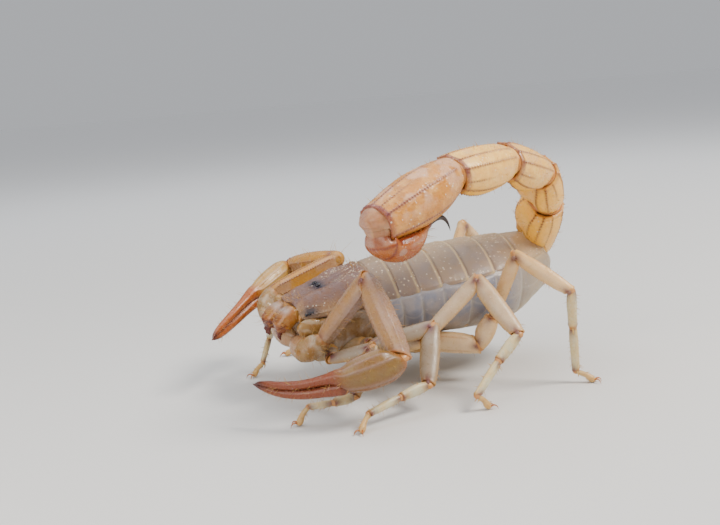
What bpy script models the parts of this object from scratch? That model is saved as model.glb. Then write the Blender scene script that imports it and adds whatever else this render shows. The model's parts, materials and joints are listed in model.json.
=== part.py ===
"""Desert scorpion (buthid, fat-tailed type), life size, standing alert with the
tail arched forward over the back and to its left.

Axes: +X is the animal's left, -Y is where the head points, +Z is up, and all
eight feet stand on z = 0.  The origin is the middle of the ground it covers.
Sizes below are in millimetres; MM turns them to metres.
The body is divided the way an arachnid is named: carapace, tergites, belly,
sternites, combs, tail rings, venom bulb, sting, chelicerae, pedipalps, legs, eyes.
"""
import bpy
import bmesh
import math
import numpy as np

for ob in list(bpy.data.objects):
    bpy.data.objects.remove(ob, do_unlink=True)

MM = 0.001
GAP = 0.30            # clear space left between neighbouring pieces
GROUND_MIDDLE = (-0.04, 2.38, 0.0)     # middle of the ground covered, in the measures below

# ------------------------------------------------------------- driving sizes
CARAPACE_LEN = 8.0
CARAPACE_FRONT_HW = 2.75       # half width at the front corners
CARAPACE_REAR_HW = 4.65        # half width at the rear corners
CARAPACE_EDGE = -3.10          # level of its side margin below the rear middle
PROSOMA_AT = (0.0, -2.0, 12.4)
PROSOMA_YAW, PROSOMA_PITCH, PROSOMA_ROLL = 0.091, 0.180, 0.041

TERGITE_LEN = (1.96, 2.07, 2.38, 2.89, 3.00, 3.20, 4.44)
TERGITE_HW = (4.65, 4.95, 5.20, 5.40, 5.48, 5.35, 4.80, 2.90)
TERGITE_DROP = (3.30, 3.36, 3.32, 3.25, 3.08, 2.90, 2.65, 1.75)
BODY_DEPTH = (7.9, 8.1, 8.35, 8.6, 8.8, 8.9, 8.5, 5.5)
REAR_SLANT = 0.62              # how far the last tergite is cut back at its top
MESO_YAW, MESO_DYAW = 0.010, 0.007
MESO_PITCH, MESO_DPITCH = 0.142, -0.031
TAIL_ROOT_OUT = 1.50          # start of ring I beyond the first tail joint
BELLY_BULGE = 1.055
STERNITE_CUT = 0.86            # share of the depth where the sternites begin

# tail joints, from the end of the back to the tip of ring V
TAIL = ((-0.8, 17.35, 11.75), (2.4, 17.5, 16.4), (5.65, 15.35, 19.85),
        (8.9, 10.3, 21.5), (11.7, 3.6, 21.12), (15.2, -4.85, 18.15))
RING_HW = (2.45, 2.30, 2.25, 2.28, 2.38)     # half widths of rings I-V
RING_HD = (2.00, 1.80, 1.76, 1.84, 2.12)     # half depths of rings I-V
BULB_LEN, BULB_HW, BULB_HD = 5.9, 1.80, 1.34
STING_LEN = 3.9

# limb joints
PEDIPALP_L = ((1.9, -9.2, 5.6), (4.6, -9.4, 5.5), (5.2, -7.8, 6.4), (7.9, -3.8, 12.1),
              (13.4, -2.95, 5.95), (13.4, -8.7, 4.45), (8.3, -15.1, 3.95))
PEDIPALP_R = ((-2.3, -9.8, 6.6), (-4.9, -9.9, 7.6), (-5.6, -9.8, 9.5), (-5.4, -2.6, 12.1),
              (-12.4, -5.9, 10.85), (-9.5, -10.9, 8.65), (-3.8, -16.6, 5.75))
# coxa end, trochanter/femur, knee, patella/tibia, tibia/basitarsus, basitarsus/telotarsus, toe
LEGS = {
    "l1": ((3.95, -6.5, 4.9), (5.4, -7.1, 4.6), (8.2, -4.0, 5.7), (10.3, -6.6, 2.15), (10.9, -8.8, 2.15), (9.6, -10.8, 1.75), (9.2, -11.9, 0.0)),
    "l2": ((3.95, -3.2, 5.0), (6.0, -3.3, 5.5), (7.9, 2.2, 6.7), (11.5, 0.1, 2.45), (12.15, -2.9, 1.95), (13.0, -6.3, 1.25), (14.3, -7.5, 0.0)),
    "l3": ((3.95, 0.2, 4.6), (6.7, 1.7, 5.4), (7.7, 7.3, 10.5), (12.3, 9.0, 5.95), (13.0, 6.5, 3.95), (14.3, 3.6, 1.55), (14.1, 5.0, 0.0)),
    "l4": ((3.2, 2.1, 4.1), (5.75, 7.9, 3.7), (6.3, 9.3, 6.4), (8.9, 10.9, 12.6), (12.8, 14.4, 9.3), (11.9, 14.9, 5.7), (11.4, 15.3, 1.15), (12.4, 16.8, 0.0)),
    "r1": ((-3.95, -7.0, 5.3), (-5.2, -7.6, 5.1), (-7.6, -5.0, 8.3), (-7.7, -9.7, 5.7), (-9.9, -9.6, 3.8), (-9.1, -10.8, 1.3), (-8.6, -12.1, 0.0)),
    "r2": ((-3.95, -3.4, 5.3), (-6.0, -3.1, 5.8), (-8.5, 1.6, 7.9), (-12.6, -1.4, 4.7), (-13.7, -2.2, 1.8), (-14.4, -5.2, 1.1), (-15.2, -6.9, 0.0)),
    "r3": ((-3.95, -0.4, 4.6), (-7.4, 1.8, 5.2), (-9.4, 7.0, 9.4), (-13.6, 7.4, 4.7), (-14.8, 5.2, 2.6), (-15.8, 1.2, 1.2), (-16.5, -0.6, 0.0)),
    "r4": ((-3.45, 1.7, 4.2), (-6.3, 8.2, 4.0), (-6.9, 9.9, 6.9), (-8.4, 13.1, 13.5), (-12.7, 17.6, 9.5), (-13.2, 18.4, 5.5), (-13.3, 19.2, 1.15), (-14.4, 21.0, 0.0)),
}
HAND_SLIM = {"l": 1.0, "r": 0.80}    # swell of each hand
LEG_SCALE = {"1": 0.80, "2": 0.90, "3": 1.0, "4": 1.05}


# ------------------------------------------------------------------ vectors
def V(*a):
    return np.array(a if len(a) > 1 else a[0], float)


def unit(v):
    return v / (np.linalg.norm(v) + 1e-12)


def rot(yaw, pitch, roll=0.0):
    cy, sy, cp, sp, cr, sr = (math.cos(yaw), math.sin(yaw), math.cos(pitch),
                              math.sin(pitch), math.cos(roll), math.sin(roll))
    rz = np.array([[cy, -sy, 0], [sy, cy, 0], [0, 0, 1]])
    rx = np.array([[1, 0, 0], [0, cp, -sp], [0, sp, cp]])
    ry = np.array([[cr, 0, sr], [0, 1, 0], [-sr, 0, cr]])
    return rz @ rx @ ry


PRO_R = rot(PROSOMA_YAW, PROSOMA_PITCH, PROSOMA_ROLL)
PRO_P = V(PROSOMA_AT)


def pro(x, y, z):
    """A point of the front body, given from the rear middle of the carapace."""
    return PRO_P + PRO_R @ V(x, y, z)


def body_frames():
    """The stations along the back: position and rotation at each tergite edge."""
    p = PRO_P.copy()
    yaw, pitch = MESO_YAW, MESO_PITCH
    out = []
    for i in range(8):
        r = rot(yaw, pitch)
        out.append((p.copy(), r))
        if i < 7:
            p = p + r @ V(0, TERGITE_LEN[i], 0)
            yaw += MESO_DYAW
            pitch += MESO_DPITCH
    return out


FRAMES = body_frames()


def meso(s):
    """Frame and sizes at a place s (0..7) along the back."""
    i = min(int(s), 6)
    t = s - i
    (p0, r0), (p1, r1) = FRAMES[i], FRAMES[i + 1]
    def mix(a):
        return a[i] * (1 - t) + a[i + 1] * t
    r = r0 * (1 - t) + r1 * t
    return p0 * (1 - t) + p1 * t, r, mix(TERGITE_HW), mix(TERGITE_DROP), mix(BODY_DEPTH)


# ------------------------------------------------------------------ building
def material(name, rgb, rough=0.5, metal=0.0):
    m = bpy.data.materials.new(name)
    m.use_nodes = True
    b = m.node_tree.nodes["Principled BSDF"]
    b.inputs["Base Color"].default_value = (*rgb, 1)
    b.inputs["Roughness"].default_value = rough
    b.inputs["Metallic"].default_value = metal
    return m


def make(name, rings, rgb, rough=0.5, tip=None):
    """One closed body skinned over rings of equal count, each end closed."""
    bm = bmesh.new()
    mid = V(GROUND_MIDDLE)
    rings = [[p - mid for p in r] for r in rings]
    tip = None if tip is None else tip - mid
    vs = [[bm.verts.new(tuple(p * MM)) for p in r] for r in rings]
    n = len(rings[0])
    for a, b in zip(vs[:-1], vs[1:]):
        for k in range(n):
            bm.faces.new((a[k], a[(k + 1) % n], b[(k + 1) % n], b[k]))
    c0 = bm.verts.new(tuple(sum(rings[0]) / n * MM))
    for k in range(n):
        bm.faces.new((vs[0][(k + 1) % n], vs[0][k], c0))
    c1 = bm.verts.new(tuple((sum(rings[-1]) / n if tip is None else tip) * MM))
    for k in range(n):
        bm.faces.new((vs[-1][k], vs[-1][(k + 1) % n], c1))
    bmesh.ops.recalc_face_normals(bm, faces=bm.faces)
    me = bpy.data.meshes.new(name)
    bm.to_mesh(me)
    bm.free()
    me.shade_smooth()
    me.set_sharp_from_angle(angle=math.radians(40))
    me.materials.append(material(name + "_finish", rgb, rough))
    ob = bpy.data.objects.new(name, me)
    bpy.context.scene.collection.objects.link(ob)
    return ob


def oval(n, p=2.0, turn=0.5):
    """Unit superellipse of n points, x across and y up."""
    out = []
    for k in range(n):
        t = 2 * math.pi * (k + turn) / n
        c, s = math.cos(t), math.sin(t)
        out.append((math.copysign(abs(c) ** (2 / p), c), math.copysign(abs(s) ** (2 / p), s)))
    return out


def slide(points, along, at, normal):
    """Move points along a direction until they lie on a plane."""
    k = float(along @ normal)
    return [p + along * float((at - p) @ normal) / k for p in points]


def chain(joints, dorsal, stations, sec, cut0=None, cut1=None, neck=0.8, hold=1.6):
    """Rings along a jointed limb.

    joints    the joint centres
    dorsal    one upward direction for each stretch between joints
    stations  for each stretch a list of (place, half depth, half width)
    cut0/1    (point, normal) of the flat that closes each end
    Interior joints get one narrow ring on the plane that halves the bend.
    """
    joints = [V(j) for j in joints]
    dirs = [unit(b - a) for a, b in zip(joints[:-1], joints[1:])]
    rings = []
    m = len(dirs)
    for i, d in enumerate(dirs):
        a, b = joints[i], joints[i + 1]
        length = np.linalg.norm(b - a)
        up = unit(dorsal[i] - d * float(dorsal[i] @ d))
        side = np.cross(d, up)
        n0 = unit(dirs[i - 1] + d) if i else (cut0[1] if cut0 else d)
        n1 = unit(dirs[i + 1] + d) if i < m - 1 else (cut1[1] if cut1 else d)
        q0 = a if (i or not cut0) else cut0[0]
        q1 = b if (i < m - 1 or not cut1) else cut1[0]
        for j, (t, hd, hw) in enumerate(stations[i]):
            c = a + d * length * t
            pts = [c + side * (hw * x) + up * (hd * y) for x, y in sec]
            e0 = max(0.0, 1 - t * length / (hold * max(hd, hw)))
            e1 = max(0.0, 1 - (1 - t) * length / (hold * max(hd, hw)))
            p0 = slide(pts, d, q0 + d * length * t, n0)
            p1 = slide(pts, d, q1 - d * length * (1 - t), n1)
            pts = [p + (u - p) * e0 + (w - p) * e1 for p, u, w in zip(pts, p0, p1)]
            if cut0 and i == 0 and j:
                pts = [p + d * (max(0.0, 0.12 * j - float((p - q0) @ n0)) / float(d @ n0)) for p in pts]
            if cut1 and i == m - 1 and j < len(stations[i]) - 1:
                w = 0.12 * (len(stations[i]) - 1 - j)
                pts = [p - d * (max(0.0, w + float((p - q1) @ n1)) / float(d @ n1)) for p in pts]
            rings.append(pts)
        if i < m - 1:
            hd, hw = stations[i][-1][1] * neck, stations[i][-1][2] * neck
            d2 = dirs[i + 1]
            up2 = unit(dorsal[i + 1] - d2 * float(dorsal[i + 1] @ d2))
            pts = [b + side * (hw * x) + up * (hd * y) for x, y in sec]
            pts2 = [b + np.cross(d2, up2) * (hw * x) + up2 * (hd * y) for x, y in sec]
            pn = unit(d + d2)
            a1, a2 = slide(pts, d, b, pn), slide(pts2, d2, b, pn)
            rings.append([(u + w) / 2 for u, w in zip(a1, a2)])
    return rings


def span(a, b, up, stations, sec, cut0, cut1):
    """Rings of one stretch that lean over evenly from one end plane to the other."""
    d = unit(b - a)
    up = unit(up - d * float(up @ d))
    side = np.cross(d, up)
    rings = []
    for t, hd, hw in stations:
        pts = [a + side * (hw * x) + up * (hd * y) for x, y in sec]
        p0, p1 = slide(pts, d, *cut0), slide(pts, d, *cut1)
        rings.append([u + (w - u) * t for u, w in zip(p0, p1)])
    return rings


def joint_plane(prev, at, nxt, side):
    """The plane that halves the bend at a joint, moved by half a gap."""
    n = unit(unit(V(at) - V(prev)) + unit(V(nxt) - V(at)))
    return V(at) + n * (GAP / 2 * side), n


CREAM, TAN, LILAC = (0.72, 0.60, 0.40), (0.66, 0.47, 0.27), (0.36, 0.27, 0.22)
GREY, AMBER, RUST = (0.33, 0.32, 0.34), (0.62, 0.33, 0.10), (0.45, 0.14, 0.04)
STRAW, BLACK, PINK = (0.68, 0.60, 0.38), (0.012, 0.009, 0.008), (0.62, 0.46, 0.36)


# ----------------------------------------------------------------- carapace
def carapace_hw(u):
    """Half width at u = 0 (front) .. 1 (rear): narrow front, full shoulders."""
    return CARAPACE_FRONT_HW + (CARAPACE_REAR_HW - CARAPACE_FRONT_HW) * math.sin(u * math.pi / 2) ** 0.85


def carapace_top(u):
    """Height of the middle line at u."""
    return -1.90 * (1 - u) ** 0.98


def carapace_z(u, f):
    """Height of the plate at u along and f = -1..1 across."""
    top = carapace_top(u)
    z = top + (CARAPACE_EDGE + 0.35 - top) * abs(f) ** 2.4
    tub = math.exp(-((u - 0.40) / 0.085) ** 2 - (f / 0.20) ** 2)      # eye hill
    groove = math.exp(-((u - 0.62) / 0.30) ** 2 - ((abs(f) - 0.42) / 0.16) ** 2)
    return z + 0.24 * tub - 0.10 * groove


def carapace():
    rings = []
    fs = [-1, -0.86, -0.62, -0.38, -0.16, 0, 0.16, 0.38, 0.62, 0.86, 1]
    for u in (0.0, 0.06, 0.2, 0.34, 0.44, 0.56, 0.72, 0.88, 1.0):
        hw = carapace_hw(u)
        y = -CARAPACE_LEN * (1 - u)
        ring = [pro(hw * f, y + (0.35 * (1 - abs(f)) * -1 if u == 0 else 0) + 0.15 * f * f * (1 - u), carapace_z(u, f)) for f in fs]
        low = [pro(hw * f, y + 0.15 * f * f * (1 - u) + (GAP if u == 0 else 0), CARAPACE_EDGE) for f in (0.98, 0.5, -0.5, -0.98)]
        rings.append(ring + low)
    p0, r0 = FRAMES[0]
    back = PRO_R @ V(0, 1, 0)
    rings[-1] = slide(rings[-1], back, p0 - r0 @ V(0, GAP * 0.6, 0), r0 @ V(0, 1, 0))
    make("carapace", rings, LILAC, 0.55)


def coxosternum():
    """The underside of the front body, with the fused leg bases."""
    rings = []
    top = CARAPACE_EDGE - GAP
    for y, w, bot in ((-8.15, 1.5, -6.3), (-7.3, 2.5, -7.2), (-5.0, 3.35, -7.55), (-2.5, 3.55, -7.7), (-0.55, 3.55, -7.75)):
        f = [(1, 1.0, 0.0), (1, 1.02, 0.35), (1, 0.9, 0.8), (1, 0.5, 1.0),
             (-1, 0.5, 1.0), (-1, 0.9, 0.8), (-1, 1.02, 0.35), (-1, 1.0, 0.0)]
        rings.append([pro(s * w * a, y, top + (bot - top) * b) for s, a, b in f])
    make("coxosternum", rings, TAN, 0.6)


def eyes():
    sec = oval(8)
    def ball(name, c, r, axis):
        up = unit(V(0, 0, 1) - axis * axis[2])
        side = np.cross(axis, up)
        rings = []
        for a in (-30, 5, 40):
            q = math.radians(a)
            rings.append([c + axis * (r * math.sin(q)) + side * (r * math.cos(q) * x) + up * (r * math.cos(q) * y) for x, y in sec])
        make(name, rings, BLACK, 0.12, tip=c + axis * r)
    for s, tag in ((1, "l"), (-1, "r")):
        axis = unit(PRO_R @ V(0.62 * s, -0.25, 0.75))
        f = 0.42 * s / carapace_hw(0.40)
        base = pro(0.42 * s, -CARAPACE_LEN * 0.6, carapace_z(0.40, f))
        ball("median_eye_" + tag, base + axis * 0.33, 0.27, axis)
        axis = unit(PRO_R @ V(0.75 * s, -0.45, 0.5))
        rings = []
        for k, (dy, r) in enumerate(((-0.62, 0.10), (-0.42, 0.20), (-0.16, 0.19), (0.08, 0.20), (0.32, 0.17), (0.55, 0.08))):
            u = 0.10
            y = -CARAPACE_LEN * (1 - u) + dy
            hw = carapace_hw(u)
            f = 0.90
            c = pro(s * hw * f, y, carapace_z(u, f)) + axis * 0.62
            fwd = unit(PRO_R @ V(0, 1, 0))
            up = np.cross(fwd, axis)
            rings.append([c + axis * (r * y2) + up * (r * x2) for x2, y2 in oval(6)])
        make("lateral_eyes_" + tag, rings, BLACK, 0.15)


def chelicerae():
    sec = oval(10, 2.3)
    for s, tag, reach in ((1, "l", 0.0), (-1, "r", 0.25)):
        x = 1.06 * s
        yb = -CARAPACE_LEN - 0.44
        pts = [pro(x, yb + 0.1, -2.65), pro(x * 1.03, yb - 1.20 - reach, -2.75), pro(x * 0.95, yb - 2.10 - reach, -3.85)]
        up = [PRO_R @ V(0, 0, 1), PRO_R @ V(0, -0.8, 0.5)]
        st = [[(0.0, 0.72, 0.72), (0.18, 0.92, 0.90), (0.55, 0.98, 0.92), (0.9, 0.92, 0.84)],
              [(0.25, 0.62, 0.66), (0.6, 0.42, 0.48), (1.0, 0.20, 0.26)]]
        make("chelicera_" + tag, chain(pts, up, st, sec, neck=0.95, hold=1.2), CREAM, 0.45)


# -------------------------------------------------------------- back, belly
def slant(s, z, depth):
    """The last stretch leans back at its foot, so the tail root faces up and back."""
    t = max(0.0, s - 6.0)
    lean = depth * 0.42 + z
    return -REAR_SLANT * t * t * (lean if lean > 0 else 0.35 * lean)


def arch(s, n=9, lift=0.0, grow=1.0):
    p, r, hw, drop, depth = meso(s)
    fs = [math.sin(math.pi / 2 * (-1 + 2 * k / (n - 1))) for k in range(n)]
    top = [p + r @ V(hw * grow * f, slant(s, -drop * abs(f) ** 2.3, depth), -drop * abs(f) ** 2.3 + lift) for f in fs]
    low = [p + r @ V(hw * grow * f, slant(s, -drop - 0.25, depth), -drop - 0.25) for f in (0.97, 0.0, -0.97)]
    return top + low


def tergites():
    for i in range(7):
        s0 = i + GAP / TERGITE_LEN[i] * 0.5
        s1 = i + 1 - GAP / TERGITE_LEN[i] * 0.5
        rings = [arch(s0, lift=-0.16, grow=0.985), arch(i + 0.45), arch(s1, lift=0.10 if i < 6 else -0.16)]
        make("tergite_%d" % (i + 1), rings, GREY if i else TAN, 0.55)


def side_x(hw, v):
    """Half width of the belly at v = 0 (tergite edge) .. 1 (bottom)."""
    c = 0.22
    if v < c:
        return hw * (1 + (BELLY_BULGE - 1) * math.sin(v / c * math.pi / 2))
    w = (v - c) / (1 - c)
    return hw * BELLY_BULGE * max(0.0, 1 - w ** 2.5) ** (1 / 2.5)


def belly():
    """Side skin and flesh of the hind body, from the tergite edges to the sternites."""
    vs = (0.0, 0.12, 0.28, 0.48, 0.68)
    rings = []
    plates = []
    for s in (0.12, 0.6, 1.0, 1.6, 2.0, 2.6, 3.0, 3.6, 4.0, 4.6, 5.0, 5.6, 6.0, 6.5, 6.93):
        p, r, hw, drop, depth = meso(s)
        zt = -drop - 0.25 - GAP
        zb = -(drop + (depth - drop) * STERNITE_CUT)
        low = -depth
        row = []
        for v in vs + (1.0,):
            z = zt + (zb + GAP / 2 - zt) * v
            q = (-z - drop) / (depth - drop)
            row.append((side_x(hw, max(0.0, q)), z))
        rings.append([p + r @ V(x, slant(s, z, depth), z) for x, z in row] + [p + r @ V(-x, slant(s, z, depth), z) for x, z in reversed(row)])
        if s >= 2.5:
            x0 = side_x(hw, STERNITE_CUT + 0.01)
            row = [(x0, zb - GAP / 2), (x0 * 0.86, zb - GAP / 2 - (depth + zb) * 0.55), (x0 * 0.45, low + 0.05)]
            plates.append([p + r @ V(x, slant(s, z, depth) * 0.75, z) for x, z in row] + [p + r @ V(-x, slant(s, z, depth) * 0.75, z) for x, z in reversed(row)])
    # a soft neck reaches out of the body's end to the root of the tail
    js, dirs, ups = tail_frames()
    at, n = tail_root()
    side = np.cross(dirs[0], ups[0])
    turns = [math.radians(a) for a in (28, 50, 75, 100, 128, 156, 204, 232, 260, 285, 310, 332)]
    neck = [js[0] + side * (1.75 * math.sin(a)) + ups[0] * (0.70 * math.cos(a) - 1.20) for a in turns]
    rings.append(slide(neck, dirs[0], at - n * GAP, n))
    make("belly", rings, GREY, 0.5)
    make("sternites", plates, TAN, 0.45)


def pectines():
    """The pair of sensory combs under the belly, a shaft with teeth behind it."""
    for s, tag in ((1, "l"), (-1, "r")):
        p, r, hw, drop, depth = meso(2.3)
        root = V(1.30 * s, -0.4, -depth - 0.48)
        axis = unit(V(s * 0.50, 0.86, 0.0))
        back = unit(V(-s * 0.86, 0.50, 0))
        teeth, length, shaft, tooth = 8, 3.6, 0.60, 0.60
        outline = [(0, 0), (length * 0.5, -0.12), (length, 0.18)]
        for k in range(teeth, 0, -1):
            x1, x0 = length * k / teeth, length * (k - 1) / teeth
            w = (x1 - x0)
            outline += [(x1 - 0.10 * w, shaft), (x1 - 0.22 * w, shaft + tooth), (x0 + 0.34 * w, shaft + tooth), (x0 + 0.22 * w, shaft)]
        outline += [(0, shaft)]
        bm = bmesh.new()
        lo = [bm.verts.new(tuple((p + r @ (root + axis * a + back * b) - V(GROUND_MIDDLE)) * MM)) for a, b in outline]
        f = bm.faces.new(lo)
        ext = bmesh.ops.extrude_face_region(bm, geom=[f])
        up = r @ V(0, 0, -0.55) * MM
        bmesh.ops.translate(bm, verts=[v for v in ext["geom"] if isinstance(v, bmesh.types.BMVert)], vec=tuple(up))
        bmesh.ops.recalc_face_normals(bm, faces=bm.faces)
        me = bpy.data.meshes.new("pectine_" + tag)
        bm.to_mesh(me)
        bm.free()
        me.materials.append(material("pectine_%s_finish" % tag, CREAM, 0.5))
        ob = bpy.data.objects.new("pectine_" + tag, me)
        bpy.context.scene.collection.objects.link(ob)


# --------------------------------------------------------------------- tail
# corner points of a tail ring: keels and the middles of back and underside
KEELS = ((0.0, 0.78), (0.60, 1.0), (0.93, 0.56), (1.0, -0.02), (0.84, -0.66), (0.36, -0.99),
         (0.0, -0.97), (-0.36, -0.99), (-0.84, -0.66), (-1.0, -0.02), (-0.93, 0.56), (-0.60, 1.0))
KEELS_V = ((0.0, 0.80), (0.52, 0.92), (0.88, 0.56), (1.0, 0.02), (0.86, -0.56), (0.42, -0.88),
           (0.0, -1.0), (-0.42, -0.88), (-0.86, -0.56), (-1.0, 0.02), (-0.88, 0.56), (-0.52, 0.92))


def tail_frames():
    js = [V(j) for j in TAIL]
    dirs = [unit(b - a) for a, b in zip(js[:-1], js[1:])]
    ups = []
    for i, d in enumerate(dirs):
        c = np.zeros(3)
        if i:
            c += d - dirs[i - 1]
        if i < 4:
            c += dirs[i + 1] - d
        if i == 0:
            c = V(0, -1, 0) + c * 0.3
        ups.append(unit(c - d * float(c @ d)))
    return js, dirs, ups


def tail_root():
    """Plane on which ring I begins, part way between its own axis and the body's end."""
    js, dirs, ups = tail_frames()
    return js[0] + dirs[0] * TAIL_ROOT_OUT, unit(dirs[0] * 0.804 - ups[0] * 0.595)


def tail():
    js, dirs, ups = tail_frames()
    prof = ((0.0, 0.68), (0.09, 0.80), (0.25, 0.93), (0.5, 1.0), (0.75, 1.0), (0.91, 0.93), (1.0, 0.78))
    prof5 = ((0.0, 0.66), (0.06, 0.79), (0.2, 0.95), (0.42, 1.04), (0.66, 0.97), (0.88, 0.80), (1.0, 0.70))
    for i in range(5):
        st = [[(t, RING_HD[i] * k, RING_HW[i] * k) for t, k in (prof5 if i == 4 else prof)]]
        c0 = joint_plane(js[i - 1], js[i], js[i + 1], 1) if i else tail_root()
        c1 = joint_plane(js[i], js[i + 1], js[i + 2], -1) if i < 4 else (js[5], dirs[4])
        if i == 0:
            st[0][0] = (0.0, RING_HD[0] * 0.82, RING_HW[0] * 0.80)
        rings = span(js[i], js[i + 1], ups[i], st[0], KEELS_V if i == 4 else KEELS, c0, c1)
        make("metasoma_%d" % (i + 1), rings, TAN if i < 4 else AMBER, 0.5)
    return js, dirs, ups


def telson(js, dirs, ups):
    """The venom bulb folded back under ring V, and the curved sting."""
    d, u = dirs[4], ups[4]
    end = js[5]
    side = np.cross(d, u)
    a = end + d * 0.80 + u * 1.70
    c = end - d * (BULB_LEN - 0.80) + u * 3.30
    fwd = unit(c - a)
    low = unit(np.cross(side, fwd)) * 1.0
    low = low if float(low @ u) > 0 else -low
    sec = oval(12, 2.1)
    rings = []
    # the neck leaves the end face of ring V and turns back under it round a pivot
    turn_r = 1.0
    pivot = end + d * GAP + u * (0.62 + turn_r)
    for deg, high, wide in ((0, 0.60, 0.74), (35, 0.68, 0.84), (70, 0.78, 1.00), (105, 0.87, 1.20), (138, 0.93, 1.40), (162, 0.95, 1.52)):
        q = math.radians(deg)
        out = -u * math.cos(q) + d * math.sin(q)
        rings.append([pivot + out * (turn_r - high * w) - side * (wide * p) for p, w in sec])
    path = [(0.95, 0.93, 0.24), (1.8, 1.0, 0.29), (2.8, 0.98, 0.29), (3.9, 0.84, 0.16), (4.8, 0.58, -0.02), (5.6, 0.36, -0.18)]
    for x, k, drop in path:
        cen = a + fwd * x + low * (0.55 + drop)
        rings.append([cen - side * (BULB_HW * k * p) - low * (BULB_HD * k * q) for p, q in sec])
    make("vesicle", rings, RUST, 0.35)
    u = low
    base = a + fwd * (5.6 + GAP) + u * 0.32
    rings = []
    n = 9
    for k in range(n):
        t = k / (n - 1)
        # the sting first runs on, bows away from the bulb and then hooks back down
        x = STING_LEN * 0.80 * math.sin(t * 1.45)
        y = -0.55 * math.sin(t * math.pi * 0.85) + 1.55 * t ** 3.0
        cen = base + fwd * x + u * y
        r = 0.62 * (1 - t) ** 0.8 + 0.09
        rings.append((cen, r))
    out = []
    for k, (cen, r) in enumerate(rings):
        q0 = rings[max(0, k - 1)][0]
        q1 = rings[min(n - 1, k + 1)][0]
        t = unit(q1 - q0)
        nrm = unit(np.cross(side, t))
        out.append([cen + side * (r * p) + nrm * (r * q) for p, q in oval(8)])
    make("sting", out, BLACK, 0.25)


# -------------------------------------------------------------------- limbs
def leg_normal(f0, f1, f2, left):
    n = unit(np.cross(V(f1) - V(f0), V(f2) - V(f1)))
    return n


def bend_up(n, d, outer):
    u = unit(np.cross(n, d))
    return u if float(u @ outer) > 0 else -u


def legs():
    sec = oval(8, 2.2)
    for tag, pts in LEGS.items():
        pts = [V(p) for p in pts]
        k = LEG_SCALE[tag[1]]
        s = 1 if tag[0] == "l" else -1
        base = pts[:-5]                       # coxa end(s) and trochanter/femur joint
        knee, pt, tb, bt, toe = pts[-5:]
        troch = base[-1]
        n = leg_normal(troch, knee, pt, s)
        outer = unit(knee - (troch + pt) / 2)
        # coxa end, trochanter and femur
        path = base + [knee]
        dirs = [unit(b - a) for a, b in zip(path[:-1], path[1:])]
        ups = [bend_up(n, d, outer) for d in dirs]
        st = []
        for i in range(len(dirs)):
            if i == len(dirs) - 1:
                st.append([(0.10, 0.66 * k, 0.52 * k), (0.28, 0.80 * k, 0.56 * k), (0.6, 0.88 * k, 0.58 * k), (0.88, 0.80 * k, 0.54 * k), (1.0, 0.50 * k, 0.42 * k)])
            elif i == 0 and len(dirs) == 3:
                st.append([(0.0, 0.95 * k, 0.80 * k), (0.5, 0.90 * k, 0.78 * k), (0.9, 0.80 * k, 0.70 * k)])
            else:
                st.append([(0.0, 0.85 * k, 0.75 * k), (0.55, 0.88 * k, 0.75 * k), (0.88, 0.74 * k, 0.62 * k)])
        cut0 = (path[0], V(s, 0, 0) if len(dirs) == 2 else unit(V(0.7 * s, 0.7, 0)))
        rings = chain(path, ups, st, sec, cut0, joint_plane(troch, knee, pt, -1), neck=0.86, hold=1.5)
        make("leg_%s_femur" % tag, rings, PINK, 0.5)
        # patella
        d = unit(pt - knee)
        st = [[(0.0, 0.52 * k, 0.42 * k), (0.10, 0.80 * k, 0.56 * k), (0.32, 0.98 * k, 0.64 * k), (0.62, 0.92 * k, 0.60 * k), (0.9, 0.66 * k, 0.50 * k), (1.0, 0.46 * k, 0.38 * k)]]
        rings = chain([knee, pt], [bend_up(n, d, outer)], st, sec, joint_plane(troch, knee, pt, 1), joint_plane(knee, pt, tb, -1), hold=1.6)
        make("leg_%s_patella" % tag, rings, PINK, 0.5)
        # tibia, basitarsus and telotarsus down to the small flat of the foot
        path = [pt, tb, bt, toe]
        dirs = [unit(b - a) for a, b in zip(path[:-1], path[1:])]
        ups = []
        for d in dirs:
            u = V(0, 0, 1) - d * d[2]
            ups.append(unit(u) if np.linalg.norm(u) > 0.25 else unit(outer - d * float(outer @ d)))
        st = [[(0.0, 0.42 * k, 0.38 * k), (0.14, 0.56 * k, 0.46 * k), (0.5, 0.60 * k, 0.46 * k), (0.9, 0.46 * k, 0.40 * k)],
              [(0.12, 0.40 * k, 0.36 * k), (0.5, 0.41 * k, 0.36 * k), (0.92, 0.34 * k, 0.32 * k)],
              [(0.12, 0.31, 0.30), (0.6, 0.31, 0.30), (1.0, 0.26, 0.28)]]
        rings = chain(path, ups, st, sec, joint_plane(knee, pt, tb, 1), (toe, V(0, 0, -1)), neck=0.9, hold=1.4)
        make("leg_%s_tarsus" % tag, rings, STRAW, 0.5)


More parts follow.
